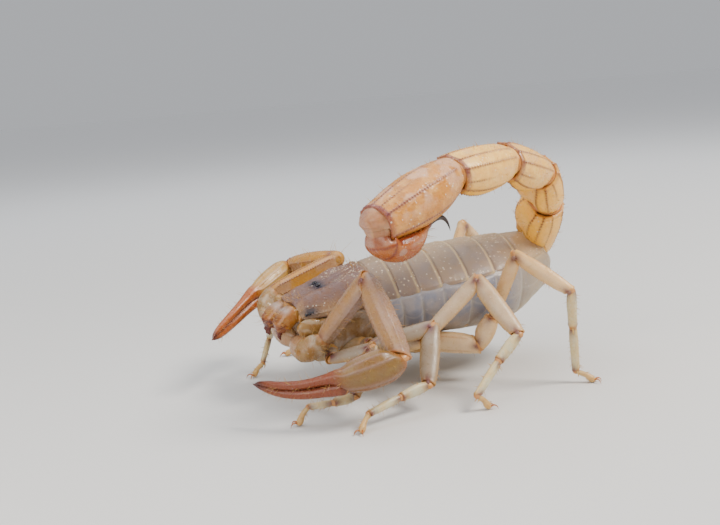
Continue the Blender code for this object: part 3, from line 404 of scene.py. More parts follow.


# the amber is partly the tail's own colour and partly painted glow of light shining through the rings
KEEL_BROWN, RIM_RED, AMBER_AND_GLOW, SPOT = (0.185, 0.085, 0.050), (0.18, 0.066, 0.062), (1.0, 0.67, 0.165), (0.11, 0.036, 0.055)
M = {
    # head shield: dark base tones, partly the shield's own colour, partly painted shade over the front body
    "shield": finish("head_shield_finish", (0.160, 0.113, 0.102), (0.172, 0.110, 0.078), 0.42, 0.08, mottle=0.9, specks=0.8, fine=0.28,
                     masks=(("warm", (0.34, 0.24, 0.135), 0.9), ("rim", (0.32, 0.25, 0.18), 0.7), ("pale", (0.66, 0.58, 0.48), 0.9), ("spot", (0.016, 0.016, 0.026), 1.0)), bump=0.5),
    "plate": finish("back_plate_finish", (0.25, 0.215, 0.20), (0.29, 0.235, 0.185), 0.40, 0.10, mottle=1.8, specks=0.6,
                    masks=(("warm", (0.50, 0.395, 0.265), 0.9), ("rim", (0.60, 0.51, 0.36), 0.95), ("keel", (0.15, 0.105, 0.075), 0.7), ("pale", (0.72, 0.64, 0.52), 0.9)), bump=0.4),
    "side": finish("side_skin_finish", (0.215, 0.218, 0.245), (0.285, 0.265, 0.26), 0.36, 0.16, (0.8, 0.6, 0.6), mottle=1.6, specks=0.3,
                   masks=(("warm", (0.42, 0.345, 0.23), 0.9), ("rim", (0.49, 0.46, 0.42), 0.8), ("pale", (0.50, 0.44, 0.36), 0.8)), grain=0.16, bump=0.25),
    "cheek": finish("cheek_skin_finish", (0.27, 0.20, 0.13), (0.215, 0.155, 0.105), 0.30, 0.18, mottle=0.8, specks=0.4,
                    masks=(("warm", (0.30, 0.21, 0.10), 0.8), ("pale", (0.37, 0.32, 0.28), 0.7)), bump=0.3),
    "belly": finish("belly_plate_finish", (0.48, 0.38, 0.23), (0.42, 0.34, 0.22), 0.40, 0.14, mottle=1.6, specks=0.2,
                    masks=(("rim", (0.60, 0.51, 0.36), 0.8), ("warm", (0.48, 0.33, 0.16), 0.7), ("spot", (0.10, 0.05, 0.03), 0.9), ("keel", (0.30, 0.18, 0.10), 0.6))),
    # tail rings: base tones near full brightness, partly painted glow of light through the rings
    "tail": finish("tail_ring_finish", (0.97, 0.715, 0.325), (0.87, 0.605, 0.245), 0.34, 0.12, mottle=0.9, specks=0.8, fine=0.25,
                   masks=(("warm", AMBER_AND_GLOW, 0.95), ("pale", (0.76, 0.56, 0.37), 0.6), ("rim", RIM_RED, 0.95), ("keel", KEEL_BROWN, 1.0), ("spot", SPOT, 0.8))),
    "tail5": finish("tail_ring_five_finish", (0.68, 0.445, 0.195), (0.47, 0.275, 0.10), 0.32, 0.12, mottle=0.8, specks=0.9, fine=0.34,
                    masks=(("warm", (0.58, 0.33, 0.09), 0.9), ("pale", (0.68, 0.51, 0.40), 0.8), ("rim", RIM_RED, 0.95), ("keel", (0.13, 0.050, 0.058), 1.0), ("spot", SPOT, 0.8))),
    "gut": finish("joint_skin_finish", (0.52, 0.35, 0.17), (0.56, 0.40, 0.24), 0.34, 0.22, mottle=0.6, masks=(("pale", (0.36, 0.27, 0.245), 0.95), ("keel", (0.17, 0.075, 0.07), 0.9), ("warm", (0.52, 0.28, 0.075), 0.8)), bump=0.25),
    "bulb": finish("venom_bulb_finish", (0.345, 0.155, 0.040), (0.39, 0.195, 0.058), 0.26, 0.14, mottle=1.0, specks=0.35,
                   masks=(("warm", (0.31, 0.125, 0.032), 0.8), ("pale", (0.40, 0.28, 0.225), 0.9), ("keel", (0.15, 0.045, 0.03), 0.9), ("spot", (0.05, 0.015, 0.01), 0.95))),
    "sting": finish("sting_finish", (0.012, 0.008, 0.007), (0.03, 0.014, 0.01), 0.16, 0.0, mottle=0.5, bump=0.1),
    # jaw: its bluish-white pale tone is used for a painted highlight
    "jaw": finish("chelicera_finish", (0.36, 0.235, 0.10), (0.31, 0.18, 0.065), 0.22, 0.18, mottle=0.6, specks=0.2,
                  masks=(("warm", (0.28, 0.125, 0.04), 0.85), ("pale", (0.36, 0.325, 0.315), 0.7), ("spot", (0.085, 0.022, 0.020), 0.95)), bump=0.2),
    "eye": finish("eye_finish", (0.008, 0.008, 0.012), (0.014, 0.012, 0.016), 0.10, 0.0, mottle=0.3, bump=0.03, fine=0.02),
    # The legs share one colour; the three copies below paint light and shade into it: rear (leg IV) painted lighter
    # where light falls from behind, front (legs I-II and the coxae) painted darker as the front body's shade, upper
    # (leg III) between.
    "upper": finish("upper_limb_finish", (0.58, 0.485, 0.365), (0.515, 0.415, 0.31), 0.34, 0.12, mottle=1.2, specks=0.30,
                    masks=(("warm", (0.66, 0.47, 0.19), 0.85), ("pale", (0.60, 0.53, 0.45), 0.7), ("keel", (0.46, 0.30, 0.17), 0.7), ("rim", (0.50, 0.32, 0.17), 0.7), ("spot", SPOT, 0.95))),
    "rear": finish("rear_limb_lit_finish", (0.74, 0.60, 0.425), (0.66, 0.515, 0.36), 0.34, 0.12, mottle=1.2, specks=0.30,
                   masks=(("warm", (0.78, 0.55, 0.225), 0.85), ("pale", (0.70, 0.61, 0.50), 0.7), ("keel", (0.50, 0.33, 0.18), 0.7), ("rim", (0.54, 0.35, 0.18), 0.7), ("spot", SPOT, 0.95))),
    "front": finish("front_limb_shaded_finish", (0.30, 0.257, 0.21), (0.28, 0.232, 0.178), 0.34, 0.12, mottle=1.2, specks=0.30,
                    masks=(("warm", (0.46, 0.33, 0.13), 0.85), ("pale", (0.42, 0.375, 0.33), 0.7), ("keel", (0.36, 0.24, 0.14), 0.7), ("rim", (0.40, 0.25, 0.13), 0.7), ("spot", SPOT, 0.95))),
    "palp": finish("pedipalp_finish", (0.315, 0.237, 0.195), (0.335, 0.248, 0.168), 0.27, 0.16, mottle=1.3, specks=0.3,
                   masks=(("warm", (0.50, 0.315, 0.075), 0.95), ("pale", (0.40, 0.325, 0.30), 0.7), ("rim", (0.44, 0.25, 0.12), 0.7), ("keel", (0.13, 0.065, 0.05), 0.95), ("spot", SPOT, 0.85))),
    "knob": finish("pedipalp_base_finish", (0.32, 0.24, 0.13), (0.27, 0.19, 0.095), 0.24, 0.20, mottle=0.7, specks=0.35,
                   masks=(("warm", (0.30, 0.19, 0.07), 0.85), ("pale", (0.48, 0.42, 0.34), 0.75), ("rim", (0.44, 0.25, 0.12), 0.7), ("spot", SPOT, 0.85))),
    "lower": finish("lower_limb_finish", (0.61, 0.57, 0.43), (0.63, 0.545, 0.36), 0.32, 0.16, mottle=1.0,
                    masks=(("warm", (0.60, 0.42, 0.17), 0.9), ("pale", (0.50, 0.51, 0.46), 0.6), ("rim", (0.50, 0.33, 0.16), 0.8), ("spot", SPOT, 0.85), ("keel", (0.48, 0.33, 0.17), 0.5))),
    # The two claws share one colour: the near claw and its finger are painted darker as shade, the far claw and its
    # finger painted lighter as light.
    "hand": finish("hand_finish", (0.20, 0.145, 0.058), (0.185, 0.13, 0.064), 0.30, 0.16, mottle=1.3, specks=0.15,
                   masks=(("warm", (0.195, 0.068, 0.026), 0.95), ("pale", (0.25, 0.19, 0.165), 0.8), ("rim", (0.40, 0.25, 0.10), 0.7), ("keel", (0.035, 0.014, 0.013), 0.95), ("spot", (0.05, 0.02, 0.02), 0.9))),
    "hand_far_lit": finish("far_hand_lit_finish", (0.50, 0.38, 0.16), (0.45, 0.32, 0.13), 0.30, 0.16, mottle=1.3, specks=0.15,
                       masks=(("warm", (0.32, 0.125, 0.037), 0.95), ("pale", (0.48, 0.39, 0.30), 0.8), ("rim", (0.50, 0.32, 0.13), 0.7), ("keel", (0.08, 0.035, 0.03), 0.95), ("spot", (0.05, 0.02, 0.02), 0.9))),
    "claw": finish("claw_finish", (0.42, 0.22, 0.08), (0.34, 0.17, 0.06), 0.30, 0.15, mottle=0.4, bump=0.15),
    "comb": finish("comb_finish", (0.56, 0.48, 0.33), (0.50, 0.42, 0.28), 0.40, 0.15, mottle=0.6),
    "hair": finish("bristle_finish", (0.55, 0.40, 0.20), (0.46, 0.32, 0.15), 0.40, 0.0, mottle=0.5, bump=0.05),
}

HAIRS = []      # (root, direction, length, radius, seat on the unwrap)


def bristles(P, N, many, long, r, seed, aim=None, lean=0.6, rows=(0.05, 0.95), cols=None, droop=0.0):
    """Scatter bristles over a grid; each leans towards aim."""
    g = np.random.default_rng(seed)
    m, n = P.shape[:2]
    cell = len(SEATS)
    SEATS.append(1)
    for _ in range(many):
        i = int((rows[0] + (rows[1] - rows[0]) * g.random()) * (m - 1))
        j = int(g.random() * n) if cols is None else int(cols[int(g.random() * len(cols))] + g.integers(-1, 2)) % n
        d = N[i, j] + (aim * lean if aim is not None else 0) + g.normal(0, 0.16, 3)
        HAIRS.append((P[i, j] - N[i, j] * 0.03, unit(d), long * (0.6 + 0.7 * g.random()), r * (0.8 + 0.4 * g.random()), (cell, i / m, j / n), droop))


SEATS = []


# ----------------------------------------------------------- the body's frames
PRO_R, PRO_P = rot(PROSOMA_YAW, PROSOMA_PITCH, PROSOMA_ROLL), V(PROSOMA_AT)


def pro(x, y, z):
    """Points of the front body, given from the rear middle of the head shield."""
    return PRO_P + np.stack(np.broadcast_arrays(*[np.asarray(k, float) for k in (x, y, z)]), -1) @ PRO_R.T


def body_frames():
    p, yaw, pitch, out = PRO_P.copy(), MESO_YAW, MESO_PITCH, []
    for i in range(8):
        r = rot(yaw, pitch)
        out.append((p.copy(), r))
        if i < 7:
            p = p + r @ V(0, TERGITE_LEN[i], 0)
            yaw += MESO_DYAW
            pitch += MESO_DPITCH
    return out


FRAMES = body_frames()


def meso(s):
    """Frame and sizes at a place s (0..7) along the back."""
    i = min(int(s), 6)
    t = s - i
    (p0, r0), (p1, r1) = FRAMES[i], FRAMES[i + 1]
    sizes = [curve(np.arange(8), a)(np.array([s]))[0] for a in (TERGITE_HW, TERGITE_DROP, BODY_DEPTH)]
    return p0 * (1 - t) + p1 * t, r0 * (1 - t) + r1 * t, *sizes


def slant(s, z, depth):
    t = max(0.0, s - 6.0)
    lean = depth * 0.42 + z
    return -REAR_SLANT * t * t * np.where(lean > 0, lean, 0.35 * lean)


def across(s, x, z, dy=0.0):
    """Points of the hind body at s, x across and z up."""
    p, r, hw, drop, depth = meso(s)
    x, z = np.broadcast_arrays(np.asarray(x, float), np.asarray(z, float))
    return p + np.stack([x, slant(s, z, depth) + dy, z], -1) @ r.T


# -------------------------------------------------------------- head shield
def shield_hw(u):
    return CARAPACE_FRONT_HW + (CARAPACE_REAR_HW - CARAPACE_FRONT_HW) * np.sin(np.clip(u, 0, 1) * np.pi / 2) ** 0.85


def shield_z(u, f):
    ahead = fade(1 - u, 0.45, 1.0)
    top = -1.70 * (1 - u) ** 1.18 + 0.50 * ahead
    z = top + (CARAPACE_EDGE + 0.35 + 0.12 * ahead - top) * np.abs(f) ** (2.6 + 1.6 * fade(1 - u, 0.02, 0.40))
    z = z + 0.30 * np.exp(-((np.abs(f) - 0.54) / 0.24) ** 2) * fade(1 - u, 0.03, 0.35) * (1 - 0.3 * ahead)
    hill = np.exp(-((u - 0.40) / 0.095) ** 2 - (f / 0.20) ** 2)
    furrow = np.exp(-((u - 0.66) / 0.26) ** 2 - ((np.abs(f) - 0.26) / 0.11) ** 2)
    return z + 0.20 * hill - 0.07 * furrow - 0.06 * np.exp(-(f / 0.06) ** 2) * fade(u, 0.5, 0.62)


def line(u, f, pts, width, hw):
    """Closeness to a line drawn on the shield through (u, f) points, both sides alike."""
    best = np.full(u.shape, 9.0)
    X, Y = np.abs(f) * hw, u * CARAPACE_LEN
    for (u0, f0), (u1, f1) in zip(pts[:-1], pts[1:]):
        a, b = V(f0 * shield_hw(u0), u0 * CARAPACE_LEN), V(f1 * shield_hw(u1), u1 * CARAPACE_LEN)
        d = b - a
        t = np.clip(((X - a[0]) * d[0] + (Y - a[1]) * d[1]) / (d @ d), 0, 1)
        best = np.minimum(best, np.hypot(X - a[0] - d[0] * t, Y - a[1] - d[1] * t))
    return np.exp(-(best / width) ** 2)


def head_shield():
    m, n = 190, 230
    u = (0.5 - 0.5 * np.cos(np.linspace(0, np.pi, m))) * 0.5 + np.linspace(0, 1, m) * 0.5
    f = np.sin(np.linspace(-1, 1, n) * np.pi / 2) * 0.35 + np.linspace(-1, 1, n) * 0.65
    U, F = np.meshgrid(u, f, indexing="ij")
    hw = shield_hw(U)
    y = -CARAPACE_LEN * (1 - U) - 0.35 * (1 - np.abs(F)) * fade(1 - U, 0.93, 1.0) + 0.15 * F * F * (1 - U)
    edge = fade(np.abs(F), 0.93, 0.995)
    front = fade(1 - U, 0.965, 0.998)
    P = pro(hw * F, y, shield_z(U, F))
    rows = np.maximum.reduce([line(U, F, l, 0.15, hw) for l in (
        ((0.03, 0.30), (0.16, 0.20), (0.32, 0.13), (0.46, 0.12), (0.56, 0.20)),
        ((0.58, 0.10), (0.74, 0.20), (0.97, 0.24)), ((0.16, 0.52), (0.36, 0.42), (0.50, 0.46)),
        ((0.62, 0.50), (0.80, 0.42), (0.97, 0.47)))])
    fine = grains(P, 0.26, 0.12, 0.055, 3, 0.75)
    big = grains(P, 0.34, 0.17, 0.11, 5, 1.0)
    h = fine * (0.45 + 0.75 * rough(P, 1.2, 8)) + rows * (0.02 + 0.6 * big) + 0.10 * (rough(P, 0.8, 4) - 0.5)
    h = h + 0.12 * np.exp(-((np.abs(F) - 0.965) / 0.022) ** 2) * (0.7 + 0.3 * np.cos(U * CARAPACE_LEN * 2 * np.pi / 0.32))
    h = h + 0.07 * np.exp(-((U - 0.985) / 0.012) ** 2)
    P = raised(P, h, wrap=False)
    fr, fu = F[:, ::-1][:, :: n // 5], U[:, ::-1][:, :: n // 5]
    under = pro(shield_hw(fu) * fr * 0.985, -CARAPACE_LEN * (1 - fu) + 0.15 * fr * fr * (1 - fu) + 0.25 * fade(1 - fu, 0.96, 1.0), CARAPACE_EDGE + 0.02 + 0.35 * fade(1 - fu, 0.45, 1.0))
    G = np.concatenate([P, under], 1)
    pad = lambda a: np.concatenate([a, np.zeros((m, under.shape[1]))], 1)
    eyes_dark = np.exp(-((np.maximum(np.abs(F) * hw - 0.75, 0) / 0.90) ** 2 + ((U - 0.41) * CARAPACE_LEN / 0.72) ** 2) ** 1.0)
    eyes_dark = np.maximum(1.35 * eyes_dark * (0.62 + 0.38 * rough(P, 0.5, 23)), 0.34 * np.exp(-((np.abs(F) * hw / 2.4) ** 2 + ((U - 0.45) * CARAPACE_LEN / 1.5) ** 2)) * (0.3 + rough(P, 0.8, 24)))
    side_dark = 0.95 * np.exp(-(((np.abs(F) - 0.915) / 0.095) ** 2 + ((U - 0.115) * CARAPACE_LEN / 0.85) ** 2) ** 1.1)
    # pale grains on the shield's rear and crest: partly dust, partly painted glints of light on the granules
    dust_and_glints = fade(U, 0.55, 0.95) * (grains(G[:, :n], 0.22, 0.1, 1.0, 12, 0.30) > 0.15)
    crest = np.exp(-((np.abs(F) - 0.36) / 0.22) ** 2) * fade(U, 0.42, 0.58) * fade(1 - U, 0.04, 0.16)
    dust_and_glints = np.maximum(dust_and_glints, 0.7 * fade(crest, 0.3, 0.8) * (grains(P, 0.20, 0.10, 1.0, 13, 0.55) > 0.25))
    warm = fade(np.abs(F), 0.72, 0.98) * 0.8 + 0.6 * fade(1 - U, 0.8, 1.0) * fade(rough(P, 1.0, 21), 0.45, 0.6)
    sh = Shell()
    sh.add(G, keel=0, rim=pad(np.clip(rows * 0.15 + edge * 0.8 + np.exp(-((U - 0.985) / 0.02) ** 2), 0, 1)),
           warm=pad(np.clip(warm, 0, 1)), spot=pad(np.clip(eyes_dark + side_dark, 0, 1)), pale=pad(dust_and_glints))
    sh.build("head_shield", [M["shield"]], "carapace", "carapace")
    bristles(P, normals(P, False), 34, 0.55, 0.016, 31, PRO_R @ V(0, -1, 0.2), 0.6, rows=(0.0, 0.2))
    bristles(P, normals(P, False), 22, 0.9, 0.018, 32, PRO_R @ V(0, -0.3, 1), 0.5, rows=(0.8, 0.99))


def eyes():
    for s, tag in ((1, "l"), (-1, "r")):
        axis = unit(PRO_R @ V(0.70 * s, -0.25, 0.68))
        base = pro(0.42 * s, -CARAPACE_LEN * 0.6, shield_z(np.array(0.40), np.array(0.42 * s / shield_hw(0.40))))
        dome(base + axis * 0.04, axis, 0.27, "median_lens_" + tag, "eye", "median_eye_" + tag, 0.24)
        axis = unit(PRO_R @ V(0.78 * s, -0.35, 0.42))
        sh = Shell()
        for dy, r in ((-0.42, 0.15), (-0.08, 0.16), (0.26, 0.14), (0.50, 0.08)):
            u = 0.115
            c = pro(s * shield_hw(u) * 0.940, -CARAPACE_LEN * (1 - u) + dy, shield_z(np.array(u), np.array(0.940))) + axis * 0.06
            ball(sh, c, axis, r, r * 0.7)
        sh.build("side_lenses_" + tag, [M["eye"]], "eye", "lateral_eyes_" + tag, sharp=0)


def ball(sh, c, axis, r, high, m=18, n=28, mat=0, **masks):
    """A low dome with a rounded foot, standing on c along axis."""
    up = unit(np.cross(axis, V(0.3, 0.2, 1) if abs(axis[2]) < 0.9 else V(1, 0, 0)))
    side = np.cross(axis, up)
    q = np.linspace(-1.1, 1.50, m)[:, None]
    a = np.linspace(0, 2 * np.pi, n, endpoint=False)[None]
    P = c + axis * (high * np.sin(q) + 0 * a)[..., None] + side * (r * np.cos(q) * np.cos(a))[..., None] + up * (r * np.cos(q) * np.sin(a))[..., None]
    return sh.add(P, mat, **masks)


def dome(c, axis, r, name, slot, node, high):
    sh = Shell()
    ball(sh, c, axis, r, high, 26, 40)
    sh.build(name, [M["eye"]], slot, node, sharp=0)


# --------------------------------------------------------------------- back
def back_plates():
    for i in range(7):
        m, n = 54 + 5 * i, 168
        long = TERGITE_LEN[i]
        s0, s1 = i - 0.10 / 1.0, i + 1 + (0.12 / long if i < 6 else 0.0)
        if i == 0:
            s0 = 0.02
        ss = np.linspace(s0, s1, m)
        f = np.sin(np.linspace(-1, 1, n) * np.pi / 2) * 0.4 + np.linspace(-1, 1, n) * 0.6
        x = (ss - i)[:, None]                               # 0 front .. 1 rear of the plate
        F = np.broadcast_to(f, (m, n))
        tuck = -0.20 * (1 - fade(x, -0.1, 0.16)) - 0.03
        swell = 0.10 * np.sin(np.clip(x, 0, 1) * np.pi) ** 0.8
        rear = 0.10 * fade(x, 0.55, 0.94)
        rows = []
        for k, s in enumerate(ss):
            p, r, hw, drop, depth = meso(min(max(s, 0), 7))
            w = hw * (0.985 + 0.02 * math.sin(min(max(s - i, 0), 1) * math.pi))
            rows.append(across(min(max(s, 0), 7), w * f, -drop * np.abs(f) ** 2.3, dy=(s - min(max(s, 0), 7)) * long))
        P = np.array(rows)
        X = np.broadcast_to(x, (m, n))
        bead = np.exp(-((X - (1.0 - 0.10 / long)) / (0.11 / long)) ** 2)           # cream hind margin
        side = fade(np.abs(F), 0.945, 0.985) * fade(X, 0.25, 0.75)
        h = (tuck + swell + rear) * (1 - 0.8 * fade(np.abs(F), 0.88, 1.0)) + 0.055 * bead * (1 + 0.12 * np.cos(F * 90)) + 0.03 * side - 0.10 * fade(np.abs(F), 0.96, 1.0)
        soft = rough(P, 1.1, 40 + i)
        small = grains(P, 0.30, 0.12, 0.035, 50 + i, 0.7) * fade(soft, 0.35, 0.7)
        toward = fade(X, 0.35, 0.9)
        keels = sum(np.exp(-((F * TERGITE_HW[i] - c) / 0.11) ** 2) for c in (0.0, 1.75, -1.75)) * toward * (0.05 + 0.5 * grains(P, 0.3, 0.14, 0.05, 60 + i))
        if i == 6:
            keels = keels + sum(np.exp(-((F * 4.6 - c) / 0.11) ** 2) for c in (2.9, -2.9)) * toward * 0.09
        h = h + 0.05 * (soft - 0.5) + small + keels
        P = raised(P, h, wrap=False)
        low = P[:, ::-1][:, ::10] - normals(P, False)[:, ::-1][:, ::10] * (0.20 * (1 - fade(np.abs(F[:, ::-1][:, ::10]), 0.85, 1.0)) + 0.05)[..., None]
        G = np.concatenate([P, low], 1)
        pad = lambda a: np.concatenate([np.broadcast_to(a, (m, n)), np.zeros((m, low.shape[1]))], 1)
        dust = (grains(P, 0.24, 0.11, 1.0, 70 + i, 0.16 + 0.10 * (i in (0, 4, 5))) > 0.2) * fade(rough(P, 1.6, 90 + i), 0.42, 0.58)
        crest = (grains(P, 0.20, 0.09, 1.0, 170 + i, 0.50) > 0.2) * np.exp(-(F / 0.38) ** 2) * fade(rough(P, 1.3, 190 + i), 0.40, 0.55)
        dust = np.maximum(dust, 0.85 * crest)
        # The front plates carry painted shade: mid is smaller on T1-T2, and the keel mask below darkens T1-T3 as a
        # whole
        mid = np.exp(-(F / 0.50) ** 2) * (0.55 + 0.45 * rough(P, 1.5, 80 + i)) * (0.55 if i < 2 else 1.0) + (0.70 if i == 6 else 0.2 if i == 5 else 0.0)
        sh = Shell()
        sh.add(G, rim=pad(np.clip(bead * 1.2 + side * 0.5 * fade(X, 0.7, 0.95), 0, 1)), warm=pad(np.clip(mid + 0.3 * bead, 0, 1)),
               keel=pad(np.clip(0.8 * fade(0.2 - np.abs(X - 0.04), 0.1, 0.2) + 0.25 * fade(soft, 0.6, 0.75) + (0.55, 0.45, 0.2, 0, 0, 0, 0)[i], 0, 1)), pale=pad(dust))
        sh.build("back_plate_%d" % (i + 1), [M["plate"]], "back_plate", "tergite_%d" % (i + 1))
        if i % 2 == 0:
            bristles(P, normals(P, False), 14, 0.5, 0.014, 130 + i, FRAMES[i][1] @ V(0, 0.8, 0.3), 0.5, rows=(0.8, 0.98))


# -------------------------------------------------------------- soft flanks
def side_x(hw, v):
    c = 0.22
    w = np.clip((v - c) / (1 - c), 0, 1)
    return np.where(v < c, hw * (1 + (BELLY_BULGE - 1) * np.sin(np.clip(v / c, 0, 1) * np.pi / 2)), hw * BELLY_BULGE * np.maximum(0.0, 1 - w ** 2.5) ** (1 / 2.5))


def tail_frames():
    js = [V(j) for j in TAIL]
    dirs = [unit(b - a) for a, b in zip(js[:-1], js[1:])]
    ups = []
    for i, d in enumerate(dirs):
        c = np.zeros(3)
        if i:
            c += d - dirs[i - 1]
        if i < 4:
            c += dirs[i + 1] - d
        if i == 0:
            c = V(0, -1, 0) + c * 0.3
        ups.append(unit(c - d * float(c @ d)))
    return js, dirs, ups


def tail_root(out=TAIL_ROOT_OUT):
    js, dirs, ups = tail_frames()
    return js[0] + dirs[0] * (out - 0.55), unit(dirs[0] * 0.76 - ups[0] * 0.65)


def onto(P, d, at, n):
    """Slide points along d onto a plane."""
    return P + d * (((at - P) @ n) / float(d @ n))[..., None]


def side_skin():
    """The soft flanks, swollen between the segments, with the neck that leads into the tail."""
    m, n = 250, 132
    ss = np.linspace(0.05, 6.95, m)
    half = n // 2
    q = np.linspace(0, 1, half)
    P, warm, fold = [], [], []
    for s in ss:
        p, r, hw, drop, depth = meso(s)
        zt, zb = -drop + 0.22, -(drop + (depth - drop) * (STERNITE_CUT + 0.05))
        z = zt + (zb - zt) * q
        v = (-z - drop) / (depth - drop)
        i = min(int(s), 6)
        t = s - i
        near = min(t, 1 - t) * TERGITE_LEN[i]
        seam = math.exp(-(near / 0.17) ** 2)
        pillow = 0.20 * math.sin(t * math.pi) ** 0.6
        body = np.sin(np.clip((q - 0.06) / 0.94, 0, 1) * np.pi) ** 0.5
        x = side_x(hw, np.clip(v, 0, 1)) + (pillow - 0.10 * seam) * body - 0.22 * (1 - fade(q, 0.0, 0.09))
        P.append(np.concatenate([across(s, x, z), across(s, -x[::-1], z[::-1])]))
        both = lambda a: np.concatenate([a, a[::-1]])
        line2 = 0.5 * np.exp(-((q - 0.42 - 0.1 * math.sin(t * 3.1)) / 0.02) ** 2)
        fold.append(both(seam * body * (1 - 0.5 * q) + line2 * 0.6))
        # warmer toward the rear: partly the skin's own colour, partly painted glow of light through the thin skin
        warm.append(both(fade(q, 0.66, 1.0) * 0.7 + fade(s, 5.2, 6.6) * 0.75 + 0.25 * np.exp(-(q / 0.10) ** 2) + 0 * q))
    P, fold, warm = np.array(P), np.array(fold), np.array(warm)
    ripple = rough(P * V(0.55, 1.0, 1.3), 1.3, 200) - 0.5
    P = raised(P, 0.13 * ripple + 0.018 * (rough(P, 0.35, 206) - 0.5) - 0.05 * np.clip(fold, 0, 1) * 0.5)
    # the neck: from the body's end to the root of ring I
    js, dirs, ups = tail_frames()
    at, nn = tail_root()
    side = np.cross(dirs[0], ups[0])
    a = np.linspace(math.radians(24), math.radians(336), n)
    ring = js[0] + side * (1.95 * np.sin(a))[:, None] + ups[0] * (1.75 * np.cos(a) - 0.15)[:, None]
    ring = onto(ring, dirs[0], at + nn * 0.25, nn)
    w = fade(np.linspace(0, 1, 40))[1:, None, None]
    end = P[-1]
    grow = (1 - w) * end + w * ring + (V(0, 1, 0) * 0.25) * (np.sin(np.pi * w))
    neck = len(w)
    P = np.concatenate([P, raised(grow, 0.05 * np.sin(np.linspace(0, 1, neck)[:, None] * 14 + 0 * a[None]))])
    more = lambda A, v: np.concatenate([A, np.full((neck, n), v)])
    sh = Shell()
    sh.add(P, rim=np.clip(more(fold, 0.1), 0, 1), warm=np.clip(more(warm, 0.85), 0, 1), pale=0)
    sh.build("side_skin", [M["side"]], "side_skin", "belly", sharp=0)


def under_z(hw, drop, depth, x):
    """Height of the belly's lower outline at x across."""
    k = np.clip(np.abs(x) / (hw * BELLY_BULGE), 0, 1)
    w = np.maximum(0, 1 - k ** 2.5) ** (1 / 2.5)
    return -(drop + (depth - drop) * (0.22 + 0.78 * w))


def belly_plates():
    sh = Shell()
    n = 86
    for i in range(2, 7):
        m = 46
        s0, s1 = (2.42 if i == 2 else i - 0.08), i + 1 + (0.05 if i < 6 else -0.07)
        ss = np.linspace(s0, s1, m)
        f = np.sin(np.linspace(-1, 1, n) * np.pi / 2)
        rows, lows = [], []
        for s in ss:
            p, r, hw, drop, depth = meso(s)
            x0 = side_x(hw, STERNITE_CUT - 0.02)
            x = x0 * f
            z = under_z(hw, drop, depth, x) + 0.10
            rows.append(across(s, x, z))
            lows.append(across(s, x[::-6] * 0.97, z[::-6] + 0.35))
        P, L = np.array(rows), np.array(lows)
        X = np.broadcast_to(((ss - i)[:, None]), (m, n))
        F = np.broadcast_to(f, (m, n))
        out = -0.12 * (1 - fade(X, -0.08, 0.15)) + 0.10 * fade(X, 0.4, 0.95)
        slit = np.exp(-(((np.abs(F) - 0.66) / 0.075) ** 2 + ((X - 0.55) / 0.07) ** 2)) if i < 6 else 0 * F
        N = normals(P, False)
        if (N[m // 2, n // 2] @ V(0, 0, -1)) < 0:
            N = -N
        keels = sum(np.exp(-((F - c) / 0.025) ** 2) for c in (0.25, -0.25, 0.62, -0.62)) * fade(X, 0.2, 0.6) * (0.07 if i == 6 else 0.0)
        P = P + N * (out - 0.10 * slit + keels + 0.02 * (rough(P, 0.8, 300 + i) - 0.5))[..., None]
        G = np.concatenate([P, L], 1)
        pad = lambda a: np.concatenate([np.broadcast_to(a, (m, n)), np.zeros((m, L.shape[1]))], 1)
        sh.add(G, rim=pad(fade(X, 0.90, 0.97)), spot=pad(slit), warm=pad(fade(np.abs(F), 0.8, 1.0) * 0.5), keel=pad(np.clip(keels * 9, 0, 1)))
    sh.build("belly_plates", [M["belly"]], "belly_plate", "sternites")


# ------------------------------------------------------------ tubes and limbs
def rowdot(A, B):
    return (A * B).sum(-1, keepdims=True)


def tube(path, sizes, up, n=32, m=60, sec=None):
    """A grid round a smooth path; sizes are half depth along up and half width."""
    path, sizes = np.array(path, float), np.array(sizes, float)
    xs = np.concatenate([[0], np.cumsum(np.linalg.norm(np.diff(path, axis=0), axis=1))])
    T = np.linspace(0, 1, m)
    C, S = curve(xs / xs[-1], path)(T), curve(xs / xs[-1], sizes)(T)
    D = np.gradient(C, axis=0)
    D /= np.linalg.norm(D, axis=1, keepdims=True)
    U = up - D * rowdot(D, np.broadcast_to(up, D.shape))
    U /= np.linalg.norm(U, axis=1, keepdims=True)
    X = np.cross(D, U)
    sec = oval(n) if sec is None else sec
    return C[:, None] + X[:, None] * (S[:, 1:2] * sec[:, 0])[..., None] + U[:, None] * (S[:, 0:1] * sec[:, 1])[..., None]


def ellipsoid(c, side, up, fwd, r, n=28, m=18):
    q = np.linspace(-1.45, 1.45, m)[:, None]
    a = np.linspace(0, 2 * np.pi, n, endpoint=False)[None]
    return (c + fwd * (r[2] * np.sin(q) + 0 * a)[..., None] + side * (r[0] * np.cos(q) * np.cos(a))[..., None]
            + up * (r[1] * np.cos(q) * np.sin(a))[..., None])


def blob(sh, c, side, up, fwd, r, n=28, m=18, mat=0, **masks):
    """An ellipsoid with half sizes r along side, up and fwd."""
    return sh.add(ellipsoid(c, side, up, fwd, r, n, m), mat, **masks)


def fit(P, d, p0, p1, T, hold0, hold1):
    """Lean the two ends of a segment onto the planes of its joints."""
    e0 = (fade(1 - T / hold0))[:, None, None]
    e1 = (fade(1 - (1 - T) / hold1))[:, None, None]
    c = P.mean(1)
    A = P + d * (((c[:, None] - P) @ p0) / float(d @ p0))[..., None]
    B = P + d * (((c[:, None] - P) @ p1) / float(d @ p1))[..., None]
    return P + (A - P) * e0 + (B - P) * e1


